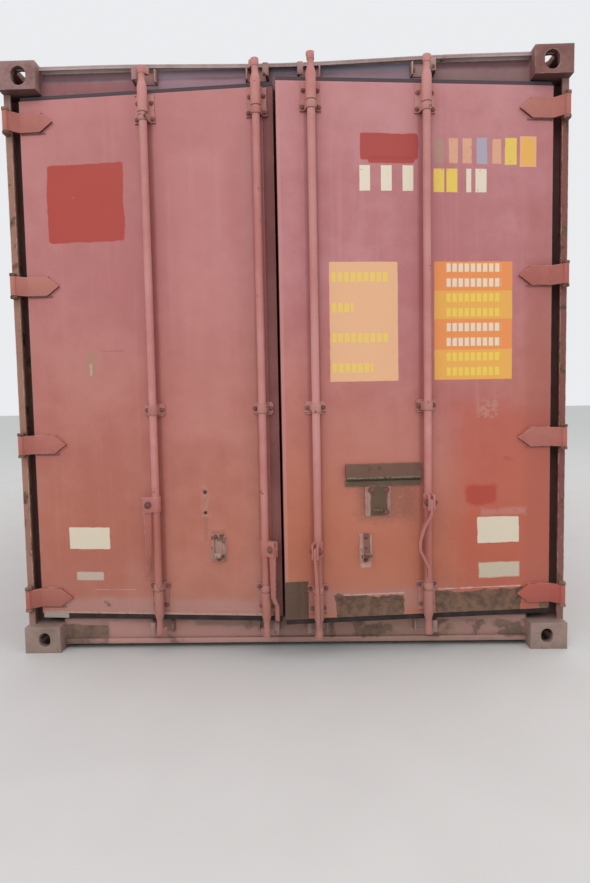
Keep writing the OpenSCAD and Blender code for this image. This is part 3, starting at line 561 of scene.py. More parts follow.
@dataclass(frozen=True)
class PaintFinish(Finish):
    """Weathered paint over steel, with rust, worn edges and dust, and painted shade on sloping faces and
    undersides.
    """

    paint: Colour = (0.4, 0.15, 0.13)
    faded: Colour = (0.5, 0.25, 0.23)
    rust: float = 0.3
    rust_scale: float = 5.0
    dust: float = 0.4
    dust_reach: float = 0.45
    edge_width: float = 0.004
    edge: float = 0.6
    edge_colour: Colour = (0.30, 0.22, 0.18)
    cloud: float = 1.6
    settled: float = 1.0
    runs: float = 0.0
    # slope and under set how strongly painted shade darkens sloping faces and faces that look down.
    slope: float = 0.0
    slope_shade_colour: Colour = (0.12, 0.04, 0.032)
    under: float = 0.0
    underside_shade_colour: Colour = (0.050, 0.018, 0.014)
    stains: tuple[Patch, ...] = ()
    rotten: tuple[Patch, ...] = ()

    def dress(self, graph: Graph, shader: bpy.types.Node, place: bpy.types.NodeSocket,
              effects: Effects) -> None:
        """Paint, painted shade on slopes, rust, rubbed edges and dust over it, then painted shade on
        undersides.
        """
        paint = effects.weather.place(graph, Vector=place, Paint=self.paint, Faded=self.faded,
                                      Streaks=0.4, Scale=self.cloud)
        amount = self.gather(graph, place, effects, self.rust, self.rotten)
        rust = effects.rust.place(graph, Vector=place, Amount=amount, Scale=self.rust_scale)
        edge = effects.edge.place(graph, Vector=place, Width=self.edge_width, Amount=self.edge)
        dust = effects.dust.place(graph, Vector=place, Amount=self.dust, Reach=self.dust_reach,
                                  Settled=self.settled)
        shade_masks = effects.shade_masks.place(graph)
        colour = self.lay(graph, place, effects, paint["Colour"], self.stains)
        # Painted shade on the sloping faces of pressed sheet, by the slope amount.
        colour = graph.mix(graph.math("MULTIPLY", shade_masks["Mask"], self.slope), colour, self.slope_shade_colour)
        if self.runs:
            runs = effects.runs.place(graph, Vector=place, Amount=self.runs)
            colour = graph.mix(runs["Mask"], colour, runs["Colour"])
        colour = graph.mix(rust["Mask"], colour, rust["Colour"])
        colour = graph.mix(edge["Mask"], colour, self.edge_colour)
        colour = graph.mix(dust["Mask"], colour, dust["Colour"])
        # Painted shade: faces that look down are darkened by the under amount.
        colour = graph.mix(graph.math("MULTIPLY", shade_masks["Under"], self.under), colour, self.underside_shade_colour)
        graph.put(shader.inputs["Base Color"], colour)
        rough = graph.span(rust["Mask"], 0.0, 1.0, self.rough, 0.9)
        rough = graph.math("MAXIMUM", rough, graph.math("MULTIPLY", dust["Mask"], 0.9))
        graph.put(shader.inputs["Roughness"], rough)
        height = graph.math("ADD", paint["Height"], graph.math("MULTIPLY", rust["Height"], 0.8))
        height = graph.math("SUBTRACT", height, graph.math("MULTIPLY", edge["Mask"], 0.5))
        self.bump(graph, shader, height, 0.0012)


@dataclass(frozen=True)
class DoorFinish(Finish):
    """A door's paint, redder and dirtier towards the ground and pinker and bluer higher up, that tint partly
    a painted reflection of the sky, with its painted patches.
    """

    turn: float = 0.0
    pin: tuple[float, float] = (0.0, 0.0)
    patches: tuple[Patch, ...] = ()
    rotten: tuple[Patch, ...] = ()
    upper: Colour = (0.485, 0.162, 0.158)
    upper_faded: Colour = (0.56, 0.225, 0.215)
    lower: Colour = (0.455, 0.138, 0.092)
    lower_faded: Colour = (0.53, 0.20, 0.14)
    change_from: float = 0.95
    change_to: float = 2.35
    foot_top: float = 0.28
    foot_full: float = 0.06
    edge_colour: Colour = (0.60, 0.38, 0.34)

    def dress(self, graph: Graph, shader: bpy.types.Node, place: bpy.types.NodeSocket,
              effects: Effects) -> None:
        """Paint by height, rust and dirt at the foot, then each patch over it."""
        back = math.radians(-self.turn)
        x, y = self.pin
        shift = (x - x * math.cos(back) + y * math.sin(back),
                 y - x * math.sin(back) - y * math.cos(back), 0.0)
        closed = graph.node("ShaderNodeMapping", {0: place, 1: shift, 2: (0.0, 0.0, back)}).outputs[0]
        height = graph.node("ShaderNodeSeparateXYZ", {0: closed}).outputs[2]
        drift = graph.math("MULTIPLY", graph.noise(closed, 0.9, 3.0, 0.5), 0.9)
        # The upper paint is pinker and bluer than the lower, partly a painted reflection of the sky.
        up = graph.span(graph.math("ADD", height, drift), self.change_from, self.change_to)
        paint = effects.weather.place(graph, Vector=closed, Paint=graph.mix(up, self.lower, self.upper),
                                      Faded=graph.mix(up, self.lower_faded, self.upper_faded),
                                      Streaks=0.35, Scale=1.3)
        colour = paint["Colour"]
        scuffs = graph.noise(graph.stretch(closed, (3.0, 3.0, 40.0)), 1.0, 4.0, 0.7, 0.6)
        scuffs = graph.math("MULTIPLY", graph.span(scuffs, 0.70, 0.76), 0.35)
        colour = graph.mix(scuffs, colour, self.upper_faded)
        colour = self.lay(graph, closed, effects, colour, self.patches)
        level = graph.math("SUBTRACT", height, graph.math("MULTIPLY", drift, 0.2))
        foot = graph.span(level, self.foot_top, self.foot_full)
        amount = graph.math("ADD", graph.math("MULTIPLY", foot, 0.40), 0.09)
        amount = self.gather(graph, closed, effects, amount, self.rotten)
        rust = effects.rust.place(graph, Vector=closed, Amount=amount, Scale=6.0)
        dust = effects.dust.place(graph, Vector=closed, Amount=0.24, Reach=0.42)
        runs = effects.runs.place(graph, Vector=closed, Amount=0.16)
        edge = effects.edge.place(graph, Vector=closed, Width=0.004, Amount=0.5)
        colour = graph.mix(runs["Mask"], colour, runs["Colour"])
        colour = graph.mix(rust["Mask"], colour, rust["Colour"])
        colour = graph.mix(edge["Mask"], colour, self.edge_colour)
        colour = graph.mix(dust["Mask"], colour, dust["Colour"])
        graph.put(shader.inputs["Base Color"], colour)
        rough = graph.span(paint["Chalk"], 0.0, 1.0, self.rough - 0.08, self.rough + 0.06)
        rough = graph.math("MAXIMUM", rough, graph.math("MULTIPLY", rust["Mask"], 0.92))
        graph.put(shader.inputs["Roughness"], rough)
        waves = graph.noise(closed, 2.3, 2.0, 0.4)
        relief = graph.math("ADD", graph.math("MULTIPLY", waves, 9.0), paint["Height"])
        relief = graph.math("ADD", relief, rust["Height"])
        self.bump(graph, shader, relief, 0.0012)


@dataclass(frozen=True)
class RubberFinish(Finish):
    """Perished door seal, dusty and cracked."""

    dark: Colour = (0.022, 0.019, 0.018)
    bloomed: Colour = (0.075, 0.062, 0.055)
    dust: float = 0.25
    stains: tuple[Patch, ...] = ()

    def dress(self, graph: Graph, shader: bpy.types.Node, place: bpy.types.NodeSocket,
              effects: Effects) -> None:
        """Dark rubber with grey bloom and fine cracks."""
        bloom = graph.span(graph.noise(place, 18.0, 5.0, 0.65), 0.4, 0.7)
        colour = self.lay(graph, place, effects, graph.mix(bloom, self.dark, self.bloomed), self.stains)
        dust = effects.dust.place(graph, Vector=place, Amount=self.dust, Reach=0.3)
        graph.put(shader.inputs["Base Color"], graph.mix(dust["Mask"], colour, dust["Colour"]))
        graph.put(shader.inputs["Roughness"], graph.span(bloom, 0.0, 1.0, self.rough, 0.85))
        cracks = graph.node("ShaderNodeTexVoronoi", {"Vector": place, "Scale": 60.0},
                            feature="DISTANCE_TO_EDGE").outputs["Distance"]
        self.bump(graph, shader, graph.span(cracks, 0.0, 0.06), 0.0006)


@dataclass(frozen=True)
class WoodFinish(Finish):
    """Plywood with long grain, board joints and dirt."""

    board: float = 0.4
    upright: bool = False
    dark: Colour = (0.13, 0.075, 0.04)
    light: Colour = (0.34, 0.21, 0.115)
    dirty: Colour = (0.19, 0.145, 0.105)
    joint: Colour = (0.03, 0.02, 0.012)

    def dress(self, graph: Graph, shader: bpy.types.Node, place: bpy.types.NodeSocket,
              effects: Effects) -> None:
        """Grain along Y or Z, with a dark line between boards along X."""
        by = (30.0, 30.0, 1.4) if self.upright else (30.0, 1.4, 30.0)
        grain = graph.noise(graph.stretch(place, by), 1.0, 6.0, 0.65, 0.8)
        tone = graph.noise(place, 1.7, 3.0, 0.5)
        colour = graph.mix(graph.span(grain, 0.35, 0.68), self.dark, self.light)
        colour = graph.mix(graph.span(tone, 0.35, 0.7, 0.0, 0.6), colour, self.dirty)
        axis = graph.node("ShaderNodeSeparateXYZ", {0: place}).outputs[0]
        share = graph.math("FRACT", graph.math("DIVIDE", graph.math("ADD", axis, 10.0), self.board))
        joint = graph.math("LESS_THAN", share, 0.008)
        colour = graph.mix(joint, colour, self.joint)
        graph.put(shader.inputs["Base Color"], colour)
        graph.put(shader.inputs["Roughness"], graph.span(grain, 0.3, 0.7, self.rough, 0.85))
        self.bump(graph, shader, graph.math("SUBTRACT", grain, joint), 0.0010)


@dataclass(frozen=True)
class FloorFinish(Finish):
    """The plain pale studio floor."""

    darker: Colour = (0.60, 0.595, 0.58)
    paler: Colour = (0.66, 0.655, 0.64)

    def dress(self, graph: Graph, shader: bpy.types.Node, place: bpy.types.NodeSocket,
              effects: Effects) -> None:
        """An even pale grey with a trace of grain."""
        tone = graph.noise(place, 3.0, 3.0, 0.5)
        graph.put(shader.inputs["Base Color"], graph.mix(tone, self.darker, self.paler))
        graph.put(shader.inputs["Roughness"], graph.span(tone, 0.2, 0.8, self.rough, 0.9))


class Palette:
    """Every material of the object."""

    red = (0.44, 0.052, 0.038)
    cream = (0.76, 0.66, 0.51)
    pale = (0.60, 0.50, 0.40)
    peach = (0.87, 0.49, 0.27)
    orange = (0.89, 0.30, 0.085)
    gold = (0.88, 0.46, 0.09)
    yellow = (0.90, 0.66, 0.10)
    white = (0.88, 0.80, 0.62)
    blue_grey = (0.42, 0.42, 0.52)
    grey_cream = (0.42, 0.30, 0.20)
    # shade is the colour of the painted shadow beside the rods.
    shade = (0.20, 0.048, 0.042)
    brown = (0.22, 0.10, 0.065)
    blade_levels = (0.243, 0.946, 1.649, 2.352)

    def __init__(self, plan: Plan, effects: Effects) -> None:
        """Builds all materials.

        Args:
            plan: Places of the doors, for the painted patches.
            effects: The shared shader groups.
        """
        # A finish's under amount darkens its faces that look down with painted shade.
        finishes: dict[str, Finish] = {
            "left_door": self.door(plan, Side.LEFT),
            "right_door": self.door(plan, Side.RIGHT),
            # The door frames' dark paint is partly their paint and partly painted shade where they show in
            # the recess at the doors' meeting edge.
            "door_frame": PaintFinish("door_frame_paint_and_shade", 0.62, (0.20, 0.053, 0.050), (0.29, 0.105, 0.095),
                                      rust=0.36, dust=0.3, dust_reach=0.35, runs=0.2),
            "frame": PaintFinish("frame_paint", 0.62, (0.22, 0.085, 0.072), (0.33, 0.17, 0.15), rust=0.36,
                                 rust_scale=4.0, dust=0.45, dust_reach=0.40, edge_width=0.006, edge=0.7),
            # The inner channels' paint is much darker than the frame's: painted shade in the recess between
            # door and post.
            "channel": PaintFinish("channel_shaded_paint", 0.7, (0.095, 0.036, 0.032), (0.15, 0.065, 0.055),
                                   rust=0.45, rust_scale=4.0, dust=0.2, dust_reach=0.3),
            "casting": PaintFinish("casting_paint", 0.68, (0.180, 0.078, 0.070), (0.33, 0.185, 0.172),
                                   rust=0.46, rust_scale=9.0, dust=0.72, dust_reach=0.42, edge_width=0.008,
                                   edge=0.9, edge_colour=(0.42, 0.33, 0.28), cloud=6.0, under=0.8,
                                   stains=(Patch(1.02, 1.25, 2.45, 2.62, (0.215, 0.078, 0.062), 0.03, 0.3,
                                                 0.5, soft=0.02, grain=9.0),)),
            "header": PaintFinish("header_paint", 0.6, (0.20, 0.078, 0.082), (0.31, 0.175, 0.19), rust=0.30,
                                  dust=0.6, dust_reach=0.35, edge_width=0.005, edge=0.8,
                                  edge_colour=(0.42, 0.34, 0.33), under=0.6, stains=self.header_stains_and_painted_shade()),
            "lip": PaintFinish("lip_paint", 0.66, (0.35, 0.225, 0.21), (0.50, 0.38, 0.365), rust=0.42,
                               rust_scale=8.0, dust=0.6, dust_reach=0.2, edge_width=0.004, edge=0.8,
                               edge_colour=(0.60, 0.49, 0.46), cloud=3.0, under=0.6),
            "sill": PaintFinish("sill_paint", 0.66, (0.34, 0.125, 0.105), (0.45, 0.235, 0.205), rust=0.34,
                                rust_scale=5.0, dust=0.42, dust_reach=0.28, edge_width=0.005, edge=0.8,
                                edge_colour=(0.55, 0.42, 0.36), settled=0.25, under=0.7,
                                stains=self.sill_stains_and_painted_shadow(), rotten=self.sill_rust()),
            "post": PaintFinish("post_paint", 0.64, (0.25, 0.10, 0.085), (0.36, 0.205, 0.175), rust=0.56,
                                rust_scale=9.0, dust=0.3, dust_reach=0.5, edge_width=0.006, edge=1.0,
                                edge_colour=(0.58, 0.43, 0.38), cloud=5.0, runs=0.3,
                                stains=(Patch(-1.3, -1.1, 0.10, 2.30, (0.36, 0.175, 0.105), 0.1, 0.5, 0.6,
                                              soft=0.05, grain=7.0),
                                        Patch(1.1, 1.3, 0.10, 2.45, (0.215, 0.060, 0.048), 0.1, 0.5, 0.90,
                                              soft=0.05, grain=7.0))),
            # The walls' slope amount paints shade on the sloping faces of their pressed sheet.
            "wall": PaintFinish("wall_paint", 0.6, (0.34, 0.098, 0.075), (0.46, 0.185, 0.15), rust=0.26,
                                rust_scale=2.6, dust=0.32, dust_reach=0.5, edge=0.4, cloud=1.1, settled=0.7,
                                runs=0.42, slope=0.42),
            "blade": PaintFinish("blade_paint", 0.58, (0.41, 0.114, 0.090), (0.485, 0.175, 0.138), rust=0.30,
                                 rust_scale=12.0, dust=0.25, dust_reach=0.35, edge_width=0.005, edge=1.0,
                                 edge_colour=(0.64, 0.40, 0.35), runs=0.2, under=0.85,
                                 stains=self.low_shade((0.40, 0.092, 0.062)) + (
                                     Patch(1.0, 1.25, 0.16, 0.33, (0.46, 0.072, 0.048), 0.03, 0.1, 0.75,
                                           soft=0.02, grain=9.0),)),
            "gear": PaintFinish("gear_paint", 0.56, (0.52, 0.182, 0.163), (0.61, 0.272, 0.25), rust=0.27,
                                rust_scale=14.0, dust=0.36, dust_reach=0.42, edge_width=0.0035, edge=0.9,
                                edge_colour=(0.62, 0.44, 0.40), under=0.6,
                                stains=self.low_shade((0.42, 0.125, 0.088))),
            "bearing": PaintFinish("bearing_paint", 0.6, (0.42, 0.145, 0.12), (0.54, 0.25, 0.21), rust=0.50,
                                   rust_scale=20.0, dust=0.3, dust_reach=0.42, edge_width=0.003, edge=0.9,
                                   edge_colour=(0.20, 0.075, 0.05), under=0.8),
            "keeper": PaintFinish("keeper_paint", 0.66, (0.36, 0.165, 0.15), (0.47, 0.29, 0.265), rust=0.52,
                                  rust_scale=18.0, dust=0.35, dust_reach=0.3, edge_width=0.004, edge=1.0,
                                  edge_colour=(0.58, 0.45, 0.40), under=0.7),
            "catch": PaintFinish("catch_paint", 0.72, (0.35, 0.165, 0.13), (0.45, 0.27, 0.225), rust=0.56,
                                 rust_scale=20.0, dust=0.15, dust_reach=0.3, edge_width=0.004, edge=1.0,
                                 edge_colour=(0.74, 0.56, 0.50), stains=self.catch_stains()),
            "rusty": PaintFinish("rusty_steel", 0.8, (0.26, 0.105, 0.078), (0.32, 0.17, 0.13), rust=0.8,
                                 rust_scale=16.0, dust=0.35, dust_reach=0.4, edge_width=0.003, edge=0.7,
                                 edge_colour=(0.36, 0.23, 0.18)),
            # The hood's pale edge colour is partly worn paint and partly painted highlight on its edges.
            "hood": PaintFinish("hood_rust", 0.82, (0.125, 0.082, 0.046), (0.17, 0.120, 0.072), rust=0.46,
                                rust_scale=20.0, dust=0.12, dust_reach=0.2, edge_width=0.004, edge=1.0,
                                edge_colour=(0.50, 0.43, 0.35), cloud=7.0, stains=self.hood_stains_and_painted_light()),
            "plate": PaintFinish("plate_rust", 0.82, (0.125, 0.080, 0.052), (0.19, 0.13, 0.088), rust=0.42,
                                 rust_scale=16.0, dust=0.15, dust_reach=0.3, edge_width=0.002, edge=0.9,
                                 edge_colour=(0.40, 0.32, 0.26), cloud=8.0,
                                 stains=(Patch(-0.06, 0.10, 0.0, 0.40, (0.100, 0.048, 0.030), 0.01, 0.3, 0.75,
                                               soft=0.01, grain=9.0),)),
            "bolt": PaintFinish("bolt_steel", 0.68, (0.165, 0.048, 0.040), (0.26, 0.095, 0.078), rust=0.5,
                                rust_scale=30.0, dust=0.12, dust_reach=0.3, edge_width=0.002, edge=0.6,
                                edge_colour=(0.42, 0.28, 0.24)),
            "rubber": RubberFinish("seal_rubber", 0.7),
            "lip_rubber": RubberFinish("seal_lip_rubber", 0.85, (0.013, 0.008, 0.007), (0.036, 0.024, 0.020),
                                       0.04, self.seal_stains()),
            "board": WoodFinish("door_plywood", 0.6, 0.61, True),
            "deck": WoodFinish("deck_plywood", 0.6, 0.40, False),
            "floor": FloorFinish("studio_floor", 0.8),
        }
        self.made = {key: finish.make(effects) for key, finish in finishes.items()}

    def __getitem__(self, key: str) -> bpy.types.Material:
        """The material of that name."""
        return self.made[key]

    def door(self, plan: Plan, side: Side) -> DoorFinish:
        """The finish of one door's skin."""
        pin = (side.value * plan.pin_x, plan.front + plan.pin_inset)
        name = f"{side.body}_paint"
        if side is Side.LEFT:
            patches = self.left_patches() + self.rod_painted_shadows(plan, side) + self.blade_painted_shadows(side)
            return DoorFinish(name, 0.55, plan.angles[side], pin, patches, self.left_rust())
        patches = self.rod_painted_shadows(plan, side) + self.blade_painted_shadows(side) + self.right_patches()
        # The right door's lilac upper paint is partly a painted reflection of the sky.
        return DoorFinish(name, 0.55, plan.angles[side], pin, patches, self.right_rust(),
                          upper=(0.50, 0.175, 0.185), upper_faded=(0.60, 0.265, 0.27),
                          lower=(0.455, 0.120, 0.066), lower_faded=(0.53, 0.172, 0.098))

    def rod_painted_shadows(self, plan: Plan, side: Side) -> tuple[Patch, ...]:
        """Painted shadow on the door beside each of its rods."""
        return tuple(Patch(rod.x - 0.036, rod.x + 0.036, 0.19, 2.43, self.shade, 0.012, 0.1, 0.42,
                           soft=0.016, grain=5.0) for rod in plan.rods if rod.side is side)

    def blade_painted_shadows(self, side: Side) -> tuple[Patch, ...]:
        """Painted shadow along the lower edges of a door's hinge blades."""
        near, far = sorted((side.value * 1.040, side.value * 1.158))
        return tuple(Patch(near, far, z - 0.053, z - 0.038, (0.15, 0.036, 0.030), 0.006, 0.1, 0.75,
                           soft=0.006, grain=9.0) for z in self.blade_levels)

    def catch_stains(self) -> tuple[Patch, ...]:
        """Mossy rust on the torn catch, and rust in the hollows of the others."""
        return (
            Patch(0.346, 0.428, 0.602, 0.765, (0.100, 0.060, 0.026), 0.03, 0.35, 0.9, soft=0.008, grain=16.0),
            Patch(0.314, 0.347, 0.425, 0.540, (0.24, 0.085, 0.060), 0.01, 0.2, 0.8, soft=0.004, grain=16.0),
            Patch(0.318, 0.336, 0.512, 0.530, (0.03, 0.014, 0.011), 0.008, 0.1, 0.9, soft=0.003,
                  rounded=0.008),
            Patch(-0.350, -0.336, 0.430, 0.530, (0.12, 0.055, 0.040), 0.02, 0.4, 0.6, soft=0.006, grain=20.0),
        )

    def hood_stains_and_painted_light(self) -> tuple[Patch, ...]:
        """The hood's browner top, a pale line along its bend that is partly worn paint and partly painted
        highlight, and painted shadow under the bend.
        """
        return (
            Patch(0.15, 0.70, 0.789, 0.92, (0.165, 0.075, 0.055), 0.012, 0.5, 0.8, soft=0.006, grain=14.0),
            Patch(0.15, 0.70, 0.780, 0.788, (0.52, 0.45, 0.34), 0.008, 0.75, 0.85, soft=0.002, grain=20.0),
            # Painted shadow under the hood's bend.
            Patch(0.15, 0.70, 0.768, 0.778, (0.035, 0.020, 0.014), 0.006, 0.3, 0.85, soft=0.003, grain=20.0),
        )

    def low_shade(self, colour: Colour) -> tuple[Patch, ...]:
        """Redder, dirtier paint towards the ground."""
        return (Patch(-1.4, 1.4, -0.5, 0.95, colour, 0.2, 0.1, 0.72, soft=0.55, grain=2.0),)

    def header_stains_and_painted_shade(self) -> tuple[Patch, ...]:
        """Painted shadow under the header's lip, from brown-red at the ends to blue-grey in the middle, the
        header's paint tones below it, and painted shade along its foot above the doors.
        """
        return (
            # Bands from 2.524 m up are painted shadow under the lip; the bands below them are the header's
            # paint tones.
            Patch(-1.06, -0.62, 2.474, 2.526, (0.36, 0.098, 0.098), 0.03, 0.3, 0.65, soft=0.012, grain=6.0),
            Patch(-1.08, -0.60, 2.524, 2.62, (0.105, 0.045, 0.055), 0.012, 0.1, 0.68, soft=0.010, grain=7.0),
            Patch(-0.60, -0.06, 2.474, 2.528, (0.47, 0.270, 0.340), 0.020, 0.1, 0.65, soft=0.012, grain=6.0),
            Patch(-0.62, -0.06, 2.524, 2.62, (0.280, 0.205, 0.262), 0.012, 0.1, 0.72, soft=0.010, grain=7.0),
            Patch(-0.06, 0.60, 2.474, 2.536, (0.33, 0.225, 0.285), 0.030, 0.1, 0.65, soft=0.020, grain=6.0),
            Patch(-0.06, 0.60, 2.524, 2.62, (0.225, 0.225, 0.290), 0.030, 0.1, 0.80, soft=0.020, grain=6.0),
            Patch(0.58, 1.08, 2.524, 2.62, (0.115, 0.040, 0.040), 0.030, 0.1, 0.78, soft=0.020, grain=6.0),
            Patch(0.60, 1.08, 2.484, 2.524, (0.30, 0.17, 0.12), 0.03, 0.3, 0.4, soft=0.012, grain=6.0),
            # Painted shade along the header's foot, above the doors.
            Patch(-1.08, 1.08, 2.44, 2.476, (0.075, 0.055, 0.066), 0.006, 0.1, 0.75, soft=0.006, grain=9.0),
        )

    def seal_stains(self) -> tuple[Patch, ...]:
        """Grey dust along the seal's upper edge, and a pale bit of old seal at the left foot."""
        return (
            Patch(-1.3, 1.3, 2.40, 2.56, (0.105, 0.076, 0.088), 0.01, 0.3, 0.85, soft=0.006, grain=9.0),
            Patch(-1.17, -1.03, 0.08, 0.24, (0.47, 0.42, 0.37), 0.014, 0.35, 0.9, soft=0.006, grain=12.0),
        )

    def sill_stains_and_painted_shadow(self) -> tuple[Patch, ...]:
        """Painted shadow along the sill's upper edge under the doors, dark dirt near its top and along its
        right half, and a rosier middle.
        """
        return (
            Patch(-0.86, -0.06, 0.01, 0.13, (0.66, 0.300, 0.265), 0.05, 0.3, 0.78, soft=0.02, grain=6.0),
            Patch(-0.02, 1.10, 0.01, 0.16, (0.46, 0.240, 0.175), 0.12, 0.5, 0.7, soft=0.03, grain=5.0),
            Patch(0.76, 1.10, 0.03, 0.14, (0.47, 0.215, 0.225), 0.06, 0.4, 0.6, soft=0.02, grain=7.0),
            Patch(-0.46, -0.02, 0.088, 0.16, (0.15, 0.105, 0.080), 0.05, 0.3, 0.6, soft=0.015, grain=7.0),
            # Painted shadow of the gap under the doors.
            Patch(-1.10, 1.10, 0.131, 0.20, (0.06, 0.032, 0.027), 0.006, 0.1, 0.85, soft=0.004, grain=12.0),
        )

    def sill_rust(self) -> tuple[Patch, ...]:
        """Where the sill has rusted through its paint."""
        return (
            Patch(-1.10, -0.845, 0.0, 0.112, self.brown, 0.03, 0.2, 0.7, soft=0.012, grain=12.0),
            Patch(0.10, 1.10, 0.03, 0.13, self.brown, 0.06, 0.4, 0.35, soft=0.02, grain=8.0),
        )

    def left_patches(self) -> tuple[Patch, ...]:
        """The patches and stains on the left door."""
        return (
            Patch(-1.052, -0.704, 1.834, 2.172, (0.45, 0.044, 0.027), 0.034, 0.42, 0.95, soft=0.005,
                  grain=7.0, rounded=0.02),
            Patch(-1.018, -0.826, 0.466, 0.568, self.cream, 0.010, 0.35, rounded=0.006),
            Patch(-0.992, -0.860, 0.320, 0.364, self.pale, 0.010, 0.45, 0.85, soft=0.006, rounded=0.008),
            Patch(-0.912, -0.846, 1.236, 1.366, (0.36, 0.25, 0.14), 0.03, 0.3, 0.40, soft=0.016, grain=9.0),
            Patch(-0.892, -0.874, 1.248, 1.306, (0.62, 0.52, 0.34), 0.01, 0.4, 0.60, soft=0.008),
            Patch(-0.836, -0.730, 1.352, 1.364, (0.24, 0.11, 0.085), 0.02, 0.5, 0.35, soft=0.006, grain=9.0),
            Patch(-0.406, -0.358, 0.604, 0.760, (0.48, 0.26, 0.19), 0.05, 0.8, 0.6, soft=0.016, grain=26.0),
            *(Patch(-0.395, -0.369, z - 0.013, z + 0.013, (0.09, 0.035, 0.022), 0.012, 0.1, 0.9, soft=0.008,
                    rounded=0.01) for z in (0.726, 0.634)),
            Patch(-0.40, -0.365, 0.50, 0.620, (0.34, 0.12, 0.075), 0.03, 0.4, 0.4, soft=0.014, grain=14.0),
            Patch(-0.364, -0.290, 0.404, 0.560, (0.34, 0.125, 0.08), 0.02, 0.4, 0.45, soft=0.010, grain=14.0),
            Patch(-0.904, -0.716, 0.2785, 0.2822, (0.72, 0.46, 0.42), 0.003, 0.4, 0.9),
            Patch(-1.15, -0.06, 0.160, 0.180, (0.62, 0.44, 0.40), 0.014, 0.75, 0.55, soft=0.004),
            Patch(-1.15, -0.045, 0.160, 0.255, (0.50, 0.27, 0.25), 0.06, 0.5, 0.5, soft=0.03, grain=6.0),
            Patch(-0.22, -0.12, 0.20, 2.3, (0.36, 0.19, 0.15), 0.06, 0.3, 0.14, soft=0.05, grain=3.0),
            Patch(-0.56, -0.19, 0.90, 2.26, (0.70, 0.31, 0.28), 0.12, 0.2, 0.22, soft=0.12, grain=3.0),
        )

    def right_patches(self) -> tuple[Patch, ...]:
        """The patches, plain blocks and stains on the right door, and a painted highlight along its meeting
        edge.
        """
        rows = [
            Patch(0.66, 1.50, 0.00, 1.16, (0.52, 0.092, 0.050), 0.22, 0.1, 0.60, soft=0.16, grain=2.4,
                  rounded=0.1),
            Patch(1.02, 1.40, 0.05, 1.74, (0.385, 0.105, 0.078), 0.06, 0.3, 0.36, soft=0.05, grain=5.0),
            Patch(0.27, 0.58, 0.56, 0.80, (0.26, 0.105, 0.066), 0.12, 0.6, 0.62, soft=0.06, grain=11.0,
                  rounded=0.04),
            Patch(0.319, 0.570, 2.132, 2.243, self.red, 0.018, 0.3, 0.93, soft=0.004, grain=10.0,
                  rounded=0.02),
            Patch(0.352, 0.556, 2.117, 2.150, self.red, 0.012, 0.3, 0.93, soft=0.004, grain=12.0,
                  rounded=0.02),
            Patch(0.638, 0.682, 2.120, 2.226, self.grey_cream, 0.006, 0.6, 0.6),
            Patch(0.701, 0.806, 2.120, 2.226, self.peach, 0.006, 0.6, 0.66, 0.0605, 0.66),
            Patch(0.822, 0.870, 2.118, 2.230, self.blue_grey, 0.008, 0.4, 0.85),
            Patch(0.891, 0.932, 2.120, 2.226, self.peach, 0.006, 0.5, 0.66),
            Patch(0.946, 1.001, 2.116, 2.230, self.yellow, 0.006, 0.5, 0.86),
            Patch(1.012, 1.088, 2.108, 2.238, self.peach, 0.005, 0.4, 0.85),
            Patch(1.018, 1.082, 2.114, 2.232, self.gold, 0.006, 0.4, 0.9),
            Patch(0.315, 0.576, 2.004, 2.112, self.white, 0.005, 0.45, 0.9, 0.093, 0.5),
            Patch(0.634, 0.742, 2.000, 2.100, self.yellow, 0.005, 0.5, 0.88, 0.057, 0.84),
            Patch(0.777, 0.801, 2.000, 2.100, self.white, 0.005, 0.5, 0.85),
            Patch(0.817, 0.868, 2.000, 2.100, self.white, 0.005, 0.5, 0.85),
            Patch(0.180, 0.478, 1.202, 1.711, self.peach, 0.006, 0.15),
            Patch(0.636, 0.984, 1.202, 1.711, self.orange, 0.006, 0.2),
            Patch(0.636, 0.984, 1.464, 1.587, self.gold, 0.004, 0.2, 0.9),
            Patch(0.636, 0.984, 1.204, 1.335, self.gold, 0.004, 0.2, 0.9),
        ]
        for z, right in ((1.647, 0.440), (1.518, 0.285), (1.390, 0.440), (1.262, 0.370)):
            rows.append(Patch(0.190, right, z - 0.021, z + 0.021, self.yellow, 0.004, 0.5, 0.8, 0.028, 0.7))
        for i, paint in enumerate((self.white, self.white, self.yellow, self.yellow) * 2):
            z = 1.684 - 0.0635 * i
            rows.append(Patch(0.690, 0.935, z - 0.019, z + 0.019, paint, 0.004, 0.45, 0.85, 0.027, 0.72))
